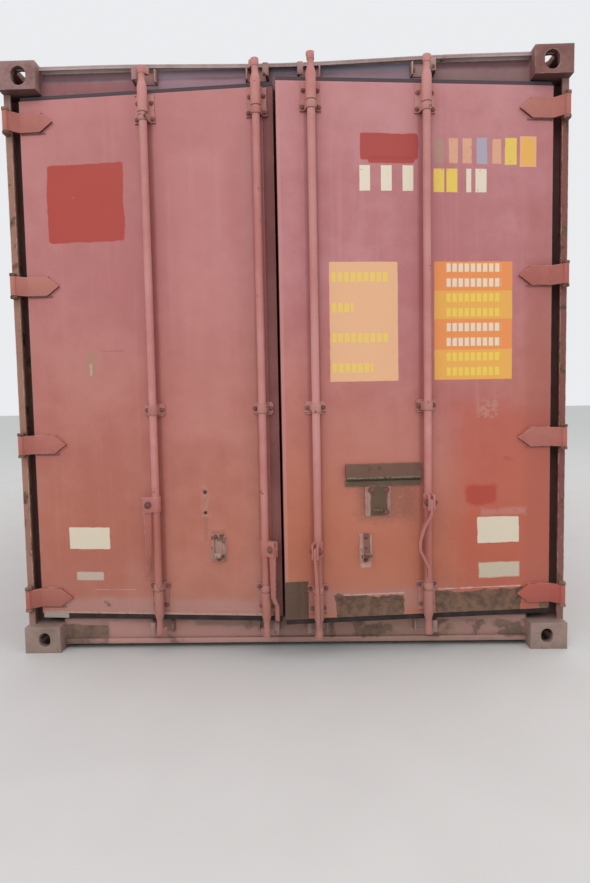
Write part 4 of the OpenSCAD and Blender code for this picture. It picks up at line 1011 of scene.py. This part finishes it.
        rows += [
            Patch(0.828, 1.021, 0.475, 0.594, self.cream, 0.014, 0.35, grain=14.0, rounded=0.008),
            Patch(0.833, 1.027, 0.315, 0.391, (0.62, 0.56, 0.42), 0.014, 0.4, 0.9, soft=0.008, rounded=0.008),
            Patch(0.770, 0.925, 0.640, 0.744, (0.45, 0.040, 0.026), 0.05, 0.4, 0.72, soft=0.02, grain=9.0,
                  rounded=0.03),
            Patch(0.94, 1.01, 0.835, 0.870, (0.42, 0.050, 0.035), 0.05, 0.4, 0.6, soft=0.02, grain=9.0,
                  rounded=0.02),
            Patch(0.84, 1.06, 0.594, 0.640, (0.56, 0.30, 0.26), 0.05, 0.6, 0.4, soft=0.02, grain=9.0),
            Patch(0.300, 0.352, 0.380, 0.424, (0.64, 0.42, 0.38), 0.04, 0.7, 0.7, soft=0.010, grain=26.0),
            Patch(0.818, 0.931, 1.023, 1.135, self.pale, 0.03, 0.9, 0.22, soft=0.02),
            Patch(0.05, 0.62, 0.168, 0.300, (0.46, 0.22, 0.20), 0.08, 0.5, 0.55, soft=0.04, grain=6.0),
            Patch(0.187, 0.500, 0.262, 0.270, (0.66, 0.46, 0.42), 0.012, 0.6, 0.8, soft=0.003),
            Patch(0.650, 1.030, 0.272, 0.280, (0.66, 0.46, 0.42), 0.012, 0.6, 0.8, soft=0.003),
            # Painted highlight along the right door's rounded meeting edge.
            Patch(-0.032, -0.015, 0.168, 2.448, (0.60, 0.27, 0.245), 0.004, 0.5, 0.5),
            Patch(0.98, 1.40, 0.90, 2.00, (0.34, 0.080, 0.052), 0.2, 0.1, 0.30, soft=0.16, grain=2.4,
                  rounded=0.1),
        ]
        return tuple(rows)

    def left_rust(self) -> tuple[Patch, ...]:
        """Where the left door rusts most."""
        return (
            Patch(-0.412, -0.352, 0.600, 0.765, self.brown, 0.05, 0.3, 0.45, soft=0.02, grain=20.0),
            Patch(-1.16, -0.96, 0.160, 0.190, self.brown, 0.05, 0.3, 0.30, soft=0.02, grain=9.0),
        )

    def right_rust(self) -> tuple[Patch, ...]:
        """Where the right door rusts most: its foot, and round its outer catch."""
        return (
            Patch(0.187, 0.505, 0.05, 0.263, self.brown, 0.055, 0.1, 1.0, soft=0.018, grain=9.0),
            Patch(0.630, 1.040, 0.05, 0.273, self.brown, 0.055, 0.1, 1.0, soft=0.018, grain=9.0),
            Patch(0.470, 0.562, 0.60, 0.75, self.brown, 0.05, 0.3, 0.40, soft=0.03, grain=12.0),
            Patch(1.10, 1.17, 0.10, 0.50, self.brown, 0.05, 0.3, 0.25, soft=0.03, grain=9.0),
        )


class Piece:
    """One new mesh in the making, which ends as a named object that rides on a body."""

    washer_thick = 0.002
    washer_sunk = 0.001
    washer_width = 1.45
    chamfer_from = 0.75
    chamfer_to = 0.8
    shank_width = 0.42
    shank_out = 0.003
    ripple_pitch = 1.6
    ripple_swell = 0.12
    ripple_phase = 2.4

    def __init__(self, name: str, body: str, slot: Slot, material: bpy.types.Material) -> None:
        """Starts an empty mesh.

        Args:
            name: The object's name.
            body: The CAD body that it rides on.
            slot: The record's material slot; kept on the piece but not used.
            material: Its finish.
        """
        self.name = name
        self.body = body
        self.slot = slot
        self.material = material
        self.mesh = bmesh.new()

    def block(self, low: Point, high: Point) -> list[bmesh.types.BMEdge]:
        """Adds a plain box between two corners and returns its edges."""
        lo, hi = Vector(low), Vector(high)
        size = Matrix.Diagonal((*(hi - lo), 1.0))
        middle = Matrix.Translation((lo + hi) / 2)
        made = bmesh.ops.create_cube(self.mesh, size=1.0, matrix=middle @ size)
        return list({e for v in made["verts"] for e in v.link_edges})

    def round_edges(self, edges: list[bmesh.types.BMEdge], radius: float,
                    segments: int = 2) -> list[bmesh.types.BMFace]:
        """Rounds edges and returns the faces that this makes or changes."""
        bent = bmesh.ops.bevel(self.mesh, geom=edges, offset=radius, segments=segments, profile=0.5,
                               affect="EDGES", material=-1, clamp_overlap=True)
        return bent["faces"]

    def box(self, low: Point, high: Point, place: Matrix, round_by: float) -> None:
        """Adds a box with rounded edges between two corners of a local frame."""
        faces = self.round_edges(self.block(low, high), round_by)
        bmesh.ops.transform(self.mesh, matrix=place, verts=list({v for f in faces for v in f.verts}))

    def barrel(self, start: Point, end: Point, radius: float, place: Matrix, sides: int,
               tip: float | None = None) -> None:
        """Adds a closed cylinder or cone from one point to another of a local frame."""
        a, b = Vector(start), Vector(end)
        along = b - a
        turn = along.to_track_quat("Z", "Y").to_matrix().to_4x4()
        bmesh.ops.create_cone(self.mesh, cap_ends=True, cap_tris=False, segments=sides, radius1=radius,
                              radius2=radius if tip is None else tip, depth=along.length,
                              matrix=place @ Matrix.Translation((a + b) / 2) @ turn)

    def bolt(self, place: Matrix, across: float, head: float, spin: float) -> None:
        """Adds a washer, a chamfered hexagon head and a shank's end that stand out along local -Y.

        Args:
            place: Frame of the seat.
            across: Width across the flats.
            head: Height of the head.
            spin: How far the head is turned, in radians.
        """
        turned = place @ Matrix.Rotation(spin, 4, "Y")
        radius = across / math.sqrt(3)
        seat = -self.washer_thick
        chamfer = seat - head * self.chamfer_from
        top = seat - head
        for start, end, width, sides, tip in (
            (self.washer_sunk, seat, radius * self.washer_width, 20, None),
            (seat, chamfer, radius, 6, None),
            (chamfer, top, radius, 6, radius * self.chamfer_to),
            (top, top - self.shank_out, radius * self.shank_width, 10, None),
        ):
            self.barrel((0, start, 0), (0, end, 0), width, turned, sides, tip)

    def weld(self, start: Point, end: Point, radius: float, place: Matrix) -> None:
        """Adds a rippled weld bead from one point to another."""
        a, b = Vector(start), Vector(end)
        count = max(3, int((b - a).length / (radius * self.ripple_pitch)))
        step = (b - a) / count
        for i in range(count):
            at = a + step * (i + 0.5)
            swell = 1.0 + self.ripple_swell * math.sin(i * self.ripple_phase)
            size = Matrix.Diagonal((radius * swell,) * 3 + (1.0,))
            bmesh.ops.create_icosphere(self.mesh, subdivisions=1, radius=1.0,
                                       matrix=place @ Matrix.Translation(at) @ size)

    def ring(self, radius: float, thick: float, place: Matrix) -> None:
        """Adds a round steel ring about the local Y axis."""
        before = set(self.mesh.verts)
        start = Matrix.Translation((radius, 0, 0)) @ Matrix.Rotation(math.pi / 2, 4, "X")
        made = bmesh.ops.create_circle(self.mesh, segments=8, radius=thick, cap_ends=False, matrix=start)
        edges = list({e for v in made["verts"] for e in v.link_edges})
        bmesh.ops.spin(self.mesh, geom=made["verts"] + edges, cent=(0, 0, 0), axis=(0, 0, 1),
                       angle=2 * math.pi, steps=20, use_merge=True, use_duplicate=False)
        new = [v for v in self.mesh.verts if v not in before]
        bmesh.ops.transform(self.mesh, matrix=place @ Matrix.Rotation(math.pi / 2, 4, "X"), verts=new)

    def hem(self, low: Point, high: Point, cuts: int, drop: Callable[[float], float]) -> None:
        """Adds a long thin strip along X that sags by drop(x), with a rolled lower edge.

        Args:
            low: One corner of the straight strip.
            high: The opposite corner.
            cuts: How often it is cut across, to bend there.
            drop: How far it sags at a place along X.
        """

        def runs_along(edge: bmesh.types.BMEdge) -> bool:
            """Whether an edge goes from end to end of the strip."""
            return abs(edge.verts[0].co.x - edge.verts[1].co.x) > (high[0] - low[0]) / 2

        lower = [e for e in self.block(low, high)
                 if runs_along(e) and all(abs(v.co.z - low[2]) < 1e-5 for v in e.verts)]
        self.round_edges(lower, (high[1] - low[1]) * 0.45, 3)
        along = [e for e in self.mesh.edges if runs_along(e)]
        bmesh.ops.subdivide_edges(self.mesh, edges=along, cuts=cuts, use_grid_fill=True)
        for vert in self.mesh.verts:
            vert.co.z -= drop(vert.co.x)

    def finish(self, smooth_angle: float = 35.0) -> bpy.types.Object:
        """Turns the mesh into an object that rides on its body.

        Args:
            smooth_angle: Edges flatter than this many degrees are shaded smooth.

        Returns:
            The finished object.
        """
        bmesh.ops.recalc_face_normals(self.mesh, faces=self.mesh.faces)
        data = bpy.data.meshes.new(self.name)
        self.mesh.to_mesh(data)
        self.mesh.free()
        data.shade_smooth()
        data.set_sharp_from_angle(angle=math.radians(smooth_angle))
        made = bpy.data.objects.new(self.name, data)
        bpy.context.scene.collection.objects.link(made)
        data.materials.append(self.material)
        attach(made, self.body)
        LOG.info("%s: %d faces on %s", self.name, len(data.polygons), self.body)
        return made


@dataclass(frozen=True)
class Softened:
    """A CAD node with its edges rounded as cast, forged or painted steel has them."""

    node: str
    body: str
    slot: Slot
    radius: float
    merge: float = 0.00002
    flat_deg: float = 0.5
    sharp_deg: float = 38.0
    smooth_deg: float = 40.0

    def build(self, frame: dict, material: bpy.types.Material) -> bpy.types.Object:
        """Copies the node's mesh, joins its faces, rounds its edges and stands for the node.

        Args:
            material: The finish.

        Returns:
            The object that stands for the node.
        """
        piece = Piece(f"{self.node}_rounded", self.body, self.slot, material)
        mesh = piece.mesh
        mesh.from_mesh(frame["nodes"][self.node].data)
        bmesh.ops.remove_doubles(mesh, verts=mesh.verts, dist=self.merge)
        bmesh.ops.dissolve_limit(mesh, angle_limit=math.radians(self.flat_deg), verts=mesh.verts,
                                 use_dissolve_boundaries=False, edges=mesh.edges)
        least = math.radians(self.sharp_deg)
        sharp = [e for e in mesh.edges if e.is_manifold and e.calc_face_angle(0.0) > least]
        piece.round_edges(sharp, self.radius)
        made = piece.finish(self.smooth_deg)
        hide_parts(self.node)
        return made


@dataclass
class DoorGear:
    """Bolts, repair plates, seal lips and welds on the doors."""

    plan: Plan
    palette: Palette
    bearing_heights: tuple[float, ...] = (0.305, 1.094, 2.337)
    wing: float = 0.034
    wing_out: float = 0.008
    plate_out: float = 0.006
    catch_z: float = 0.484
    torn_catch_z: float = 0.680
    repair_foot: float = 0.170
    repair_top: float = 0.335
    lip_back: float = 0.0022
    lip_front: float = 0.0058
    lip_lap: float = 0.001
    lip_up: float = 0.015
    lip_down: float = 0.021
    lip_bead: float = 0.0026
    bead_in: float = 0.0042
    thin_edge: float = 0.0008
    blade_half: float = 0.042
    blade_weld: tuple[float, float] = (1.156, 1.058)
    blade_bead: float = 0.0030
    weld_sunk: float = 0.0005
    blades: int = 4

    def bolt_row(self, name: str, side: Side, slot: Slot,
                 rows: list[tuple[float, float, float, float, float, float]]) -> None:
        """Makes one piece of bolts on a door's face.

        Args:
            name: The piece's name.
            side: Which door.
            slot: The record's material slot.
            rows: Place across and up, height of the seat, width, height and turn of each head.
        """
        piece = Piece(name, side.body, slot, self.palette["bolt"])
        for x, z, seat, across, head, spin in rows:
            spot = self.plan.on_face(side, x, z) @ Matrix.Translation((0, -seat, 0))
            piece.bolt(spot, across, head, spin)
        piece.finish()

    def bearing_bolts(self) -> None:
        """A bolt at each side of every bearing."""
        for side in Side:
            rows = [(rod.x + hand * self.wing, z, self.wing_out, 0.013, 0.006, 0.4 * level + number)
                    for number, rod in enumerate(self.plan.rods) if rod.side is side
                    for level, z in enumerate(self.bearing_heights) for hand in (-1, 1)]
            self.bolt_row(f"{side.body}_bearing_bolts", side, Slot.RUSTY_STEEL, rows)

    def plate_bolts(self) -> None:
        """Bolts through the long plates above and below the bearings."""
        spots = ((-0.026, 0.215), (0.026, 0.215), (-0.030, 2.405), (0.030, 2.405))
        for side in Side:
            rows = [(rod.x + x, z, self.plate_out, 0.012, 0.005, x + z)
                    for rod in self.plan.rods if rod.side is side for x, z in spots]
            self.bolt_row(f"{side.body}_plate_bolts", side, Slot.GEAR_PAINT, rows)

    def catch_bolts(self) -> None:
        """Bolts that hold the handle catches."""
        inner = (("left_door", Side.LEFT, -0.326, ((0.0, -0.056), (-0.014, 0.042))),
                 ("right_door_inner", Side.RIGHT, 0.326, ((0.0, -0.062), (0.0, 0.045))))
        for name, side, x, spots in inner:
            rows = [(x + dx, self.catch_z + dz, 0.005, 0.013, 0.005, 0.0) for dx, dz in spots]
            self.bolt_row(f"{name}_catch_bolts", side, Slot.RUSTY_STEEL, rows)
        spots = ((0.036, 0.050), (0.036, -0.050), (-0.030, 0.050))
        rows = [(0.382 + dx, self.torn_catch_z + dz, 0.004, 0.017, 0.007, dz) for dx, dz in spots]
        self.bolt_row("right_door_torn_catch_bolts", Side.RIGHT, Slot.RUSTY_STEEL, rows)

    def patch_plates(self) -> None:
        """The two thin repair plates at the foot of the right door's meeting edge."""
        place = self.plan.on_face(Side.RIGHT, 0, 0)
        for name, left, right, out in (("inner", -0.031, 0.036, 0.0030), ("outer", 0.036, 0.070, 0.0020)):
            piece = Piece(f"right_door_{name}_repair_plate", "right_door", Slot.DOOR_PAINT,
                          self.palette["plate"])
            piece.box((left, -out, self.repair_foot), (right, 0.0, self.repair_top), place, self.thin_edge)
            piece.finish()

    def seal_lips(self) -> None:
        """The thin lips of the door seals that cover the gaps above and below the doors."""
        for side, left, right in ((Side.LEFT, -1.156, -0.047), (Side.RIGHT, -0.029, 1.156)):
            low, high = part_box(f"{side.body}_skin")
            place = self.plan.on_face(side, 0, 0)
            piece = Piece(f"{side.body}_seal_lips", side.body, Slot.RUBBER, self.palette["lip_rubber"])
            for inner, outer in ((high.z - self.lip_lap, high.z + self.lip_up),
                                 (low.z + self.lip_lap, low.z - self.lip_down)):
                bottom, top = sorted((inner, outer))
                piece.box((left, self.lip_back, bottom), (right, self.lip_front, top), place, self.thin_edge)
                piece.barrel((left, self.bead_in, outer), (right, self.bead_in, outer), self.lip_bead, place,
                             10)
            piece.finish()

    def blade_welds(self) -> None:
        """Weld beads that hold the hinge blades to the doors."""
        low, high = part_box("left_door_hinge_blades")
        first, last = low.z + self.blade_half, high.z - self.blade_half
        for side in Side:
            start, end = ((side.value * x, -self.weld_sunk, 0) for x in self.blade_weld)
            piece = Piece(f"{side.body}_blade_welds", side.body, Slot.GEAR_PAINT, self.palette["blade"])
            for i in range(self.blades):
                z = first + (last - first) * i / (self.blades - 1)
                for hand in (-1, 1):
                    place = self.plan.on_face(side, 0, z + hand * (self.blade_half + self.weld_sunk))
                    piece.weld(start, end, self.blade_bead, place)
            piece.finish()

    def build(self) -> None:
        """Builds every piece."""
        self.bearing_bolts()
        self.plate_bolts()
        self.catch_bolts()
        self.patch_plates()
        self.seal_lips()
        self.blade_welds()


@dataclass
class HandleGear:
    """Hub bolts of the four handles."""

    plan: Plan
    palette: Palette
    pivot: float = 0.042
    reach: float = 0.018
    across: float = 0.018
    head: float = 0.007
    nut: float = 0.006

    def build(self) -> None:
        """A bolt head on one end of each pin and a nut on the other."""
        for number, rod in enumerate(self.plan.rods, 1):
            piece = Piece(f"handle_{number}_hub_bolt", f"lever_{number}", Slot.RUSTY_STEEL,
                          self.palette["bolt"])
            hub = self.plan.on_rod(rod) @ Matrix.Translation((rod.hand * self.pivot, 0, rod.hub))
            out = Matrix.Translation((0, -self.reach, 0))
            piece.bolt(hub @ out, self.across, self.head, 0.3 * number)
            piece.bolt(hub @ Matrix.Rotation(math.pi, 4, "Z") @ out, self.across, self.nut, 0.5 * number)
            piece.finish()


@dataclass
class FrameWelds:
    """Weld beads where the header and sill meet the castings and keepers."""

    plan: Plan
    palette: Palette
    bead: float = 0.004
    recess: float = 0.0695
    casting: float = 0.162
    joints: tuple[tuple[float, float], ...] = ((0.024, 0.136), (2.470, 2.560))
    keeper_levels: tuple[float, ...] = (0.104, 2.530)
    keeper_half: float = 0.0505
    keeper_bead: float = 0.025

    def build(self) -> None:
        """Beads up the ends of the header and sill, and beside the keepers."""
        piece = Piece("door_end_welds", "container", Slot.FRAME_PAINT, self.palette["frame"])
        y = self.plan.front + self.recess
        for side in (-1, 1):
            x = side * (self.plan.half - self.casting)
            for low, high in self.joints:
                piece.weld((x, y, low), (x, y, high), self.bead, Matrix())
        for rod in self.plan.rods:
            for z in self.keeper_levels:
                for x in (rod.x - self.keeper_half, rod.x + self.keeper_half):
                    piece.weld((x, y, z - self.keeper_bead), (x, y, z + self.keeper_bead), self.bead * 0.8,
                               Matrix())
        piece.finish()


@dataclass
class HeaderHem:
    """The turned-down edge of the header's dented lip."""

    plan: Plan
    palette: Palette
    dent: float = 0.015
    reach: float = 0.820
    inset: float = 0.0456
    plate: float = 0.003
    depth: float = 0.011
    below: float = 0.005
    cuts: int = 40

    def drop(self, x: float) -> float:
        """How far the lip is pressed down at a place along it."""
        return self.dent * math.cos(math.pi / 2 * min(1.0, abs(x) / self.reach)) ** 2

    def build(self) -> None:
        """Hangs the strip under the lip's front edge."""
        low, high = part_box("door_header_lip")
        under = high.z - self.below
        near = self.plan.front + self.inset
        piece = Piece("door_header_hem", "container", Slot.FRAME_PAINT, self.palette["lip"])
        piece.hem((low.x, near, under - self.depth), (high.x, near + self.plate, under), self.cuts, self.drop)
        piece.finish()


@dataclass
class Inside:
    """Floor screws and lashing rings inside the container."""

    palette: Palette
    rows: int = 17
    row_inset: float = 0.16
    across: int = 8
    outer_screw: float = 1.05
    rings: int = 5
    ring_inset: float = 0.55
    lug_x: float = 1.156
    lug_up: float = 0.060
    lug_half: Point = (0.012, 0.016, 0.008)
    lug_edge: float = 0.003
    ring_radius: float = 0.020
    ring_thick: float = 0.0045
    ring_drop: float = 0.019

    def screws(self) -> None:
        """Rows of sunk screw heads that hold the floor to its cross members."""
        low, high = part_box("plywood_floor")
        piece = Piece("floor_screws", "container", Slot.RUSTY_STEEL, self.palette["bolt"])
        for row in range(self.rows):
            y = low.y + self.row_inset + row * (high.y - low.y - 2 * self.row_inset) / (self.rows - 1)
            for i in range(self.across):
                x = self.outer_screw * (2 * i / (self.across - 1) - 1)
                piece.barrel((x, y, high.z - 0.002), (x, y, high.z + 0.0008), 0.0065, Matrix(), 10, 0.0055)
        piece.finish()

    def lashing(self) -> None:
        """A ring in a welded lug at intervals along the foot of each side wall."""
        low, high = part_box("plywood_floor")
        piece = Piece("lashing_rings", "container", Slot.RUSTY_STEEL, self.palette["rusty"])
        for side in (-1, 1):
            for i in range(self.rings):
                y = low.y + self.ring_inset + i * (high.y - low.y - 2 * self.ring_inset) / (self.rings - 1)
                at = Matrix.Translation((side * self.lug_x, y, high.z + self.lug_up))
                piece.box(tuple(-v for v in self.lug_half), self.lug_half, at, self.lug_edge)
                hung = at @ Matrix.Translation((0, 0, -self.ring_drop))
                piece.ring(self.ring_radius, self.ring_thick, hung)
        piece.finish()

    def build(self) -> None:
        """Builds the screws and the rings."""
        self.screws()
        self.lashing()


@dataclass(frozen=True)
class Lamp:
    """One broad soft lamp: where it is, what it aims at, its width and its power in watts."""

    name: str
    place: Point
    aim: Point
    width: float
    power: float

    def build(self) -> None:
        """Hangs the lamp."""
        data = bpy.data.lights.new(self.name, "AREA")
        data.shape = "DISK"
        data.size = self.width
        data.energy = self.power
        made = bpy.data.objects.new(self.name, data)
        made.location = self.place
        made.rotation_euler = (Vector(self.aim) - Vector(self.place)).to_track_quat("-Z", "Y").to_euler()
        bpy.context.scene.collection.objects.link(made)


@dataclass
class Studio:
    """The floor, the light and the camera."""

    palette: Palette
    eye: Point = (0.095, -5.8046, 1.153)
    yaw: float = -1.44
    pitch: float = -4.16
    roll: float = -1.06
    focal_px: float = 650.0
    picture_height: float = 883.0
    film: float = 36.0
    floor_size: float = 40.0
    sky: Colour = (0.96, 0.975, 1.0)
    sky_strength: float = 0.86
    lamps: tuple[Lamp, ...] = (
        Lamp("front_lamp", (-2.5, -11.0, 8.0), (0.0, -3.0, 1.2), 7.0, 210.0),
        Lamp("top_lamp", (1.5, -1.0, 9.0), (0.0, 0.0, 1.0), 8.0, 260.0),
    )

    def camera(self) -> None:
        """Sets the camera where the photograph was taken from."""
        data = bpy.data.cameras.new("camera")
        data.sensor_fit = "VERTICAL"
        data.sensor_height = self.film
        data.sensor_width = self.film
        data.lens = self.focal_px / self.picture_height * self.film
        yaw, pitch, roll = (math.radians(v) for v in (self.yaw, self.pitch, self.roll))
        ahead = Vector((math.sin(yaw) * math.cos(pitch), math.cos(yaw) * math.cos(pitch), math.sin(pitch)))
        level = Vector((math.cos(yaw), -math.sin(yaw), 0))
        above = level.cross(ahead)
        right = level * math.cos(roll) + above * math.sin(roll)
        up = above * math.cos(roll) - level * math.sin(roll)
        turn = Matrix((right, up, -ahead)).transposed().to_4x4()
        made = bpy.data.objects.new("camera", data)
        made.matrix_world = Matrix.Translation(self.eye) @ turn
        bpy.context.scene.collection.objects.link(made)
        bpy.context.scene.camera = made

    def floor(self) -> None:
        """A wide pale floor at the feet of the castings."""
        mesh = bmesh.new()
        bmesh.ops.create_grid(mesh, x_segments=2, y_segments=2, size=self.floor_size)
        data = bpy.data.meshes.new("studio_floor")
        mesh.to_mesh(data)
        mesh.free()
        data.materials.append(self.palette["floor"])
        made = bpy.data.objects.new("studio_floor", data)
        bpy.context.scene.collection.objects.link(made)

    def light(self) -> None:
        """An even pale sky, with two broad soft lamps in front of and above the container."""
        world = bpy.data.worlds.new("studio_sky")
        world.use_nodes = True
        background = world.node_tree.nodes["Background"]
        background.inputs["Color"].default_value = (*self.sky, 1.0)
        background.inputs["Strength"].default_value = self.sky_strength
        bpy.context.scene.world = world
        for lamp in self.lamps:
            lamp.build()

    def build(self) -> None:
        """Builds camera, floor and light, and shows colours as they are."""
        self.camera()
        self.floor()
        self.light()
        bpy.context.scene.view_settings.view_transform = "Standard"


@dataclass
class Dresser:
    """Gives each CAD node its finish, and rounds the edges of the cast and forged ones."""

    frame: dict
    palette: Palette
    finishes: dict[str, tuple[str, ...]] = field(default_factory=lambda: {
        "casting": ("door_end_castings", "closed_end_castings"),
        "post": ("door_post_outer_sections",),
        "channel": ("door_post_inner_channels",),
        "rusty": ("hinge_lugs_and_pins",),
        "header": ("door_header",),
        "lip": ("door_header_lip",),
        "sill": ("door_sill", "door_sill_lip"),
        "keeper": ("cam_keepers",),
        "wall": ("closed_end_posts", "closed_end_top_rail", "closed_end_bottom_rail", "closed_end_wall",
                 "top_side_rails", "bottom_side_rails", "left_side_wall", "right_side_wall", "roof_panel",
                 "side_ventilators"),
        "frame": ("floor_cross_members", "forklift_pockets"),
        "deck": ("plywood_floor",),
        "left_door": ("left_door_skin",),
        "right_door": ("right_door_skin",),
        "door_frame": ("left_door_frame", "right_door_frame"),
        "board": ("left_door_board", "right_door_board"),
        "rubber": ("left_door_seal", "right_door_seal"),
        "blade": ("left_door_hinge_blades", "right_door_hinge_blades"),
        "bearing": ("left_door_rod_brackets", "right_door_rod_brackets"),
        "catch": ("left_door_handle_catch", "right_door_handle_catches"),
        "hood": ("right_door_rain_hood",),
        "gear": tuple(f"{kind}_{i}" for kind in ("lock_rod", "handle") for i in range(1, 5)),
    })

    def rounded(self) -> list[Softened]:
        """The cast and forged nodes, each with its body, its slot and the radius of its edges."""
        rows = [
            Softened("door_end_castings", "container", Slot.FRAME_PAINT, 0.006),
            Softened("closed_end_castings", "container", Slot.FRAME_PAINT, 0.006),
            Softened("cam_keepers", "container", Slot.RUSTY_STEEL, 0.0015),
            Softened("hinge_lugs_and_pins", "container", Slot.RUSTY_STEEL, 0.0015),
            Softened("door_header_lip", "container", Slot.FRAME_PAINT, 0.0015),
            Softened("door_sill_lip", "container", Slot.FRAME_PAINT, 0.003),
        ]
        for kind, radius in (("hinge_blades", 0.003), ("rod_brackets", 0.0018)):
            rows += [Softened(f"{side.body}_{kind}", side.body, Slot.GEAR_PAINT, radius) for side in Side]
        rows += [
            Softened("left_door_handle_catch", "left_door", Slot.RUSTY_STEEL, 0.0012),
            Softened("right_door_handle_catches", "right_door", Slot.RUSTY_STEEL, 0.0012),
            Softened("right_door_rain_hood", "right_door", Slot.RUSTY_STEEL, 0.0012),
        ]
        rows += [Softened(f"handle_{i}", f"lever_{i}", Slot.GEAR_PAINT, 0.003) for i in range(1, 5)]
        rows += [Softened(f"lock_rod_{i}", f"rod_{i}", Slot.GEAR_PAINT, 0.002) for i in range(1, 5)]
        return rows

    def build(self) -> None:
        """Assigns the materials and rounds the forged and cast pieces."""
        dressed = {}
        for key, nodes in self.finishes.items():
            for node in nodes:
                dressed[node] = self.palette[key]
                slots = self.frame["nodes"][node].data.materials
                slots.clear()
                slots.append(dressed[node])
        for softened in self.rounded():
            softened.build(self.frame, dressed[softened.node])


def main() -> None:
    """Builds the whole scene in order."""
    logging.basicConfig(level=logging.INFO, format="%(message)s")
    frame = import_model()
    plan = Plan(frame)
    palette = Palette(plan, Effects())
    Studio(palette).build()
    Dresser(frame, palette).build()
    for part in (DoorGear(plan, palette), HandleGear(plan, palette), FrameWelds(plan, palette),
                 HeaderHem(plan, palette), Inside(palette)):
        part.build()


if __name__ == "__main__":
    main()
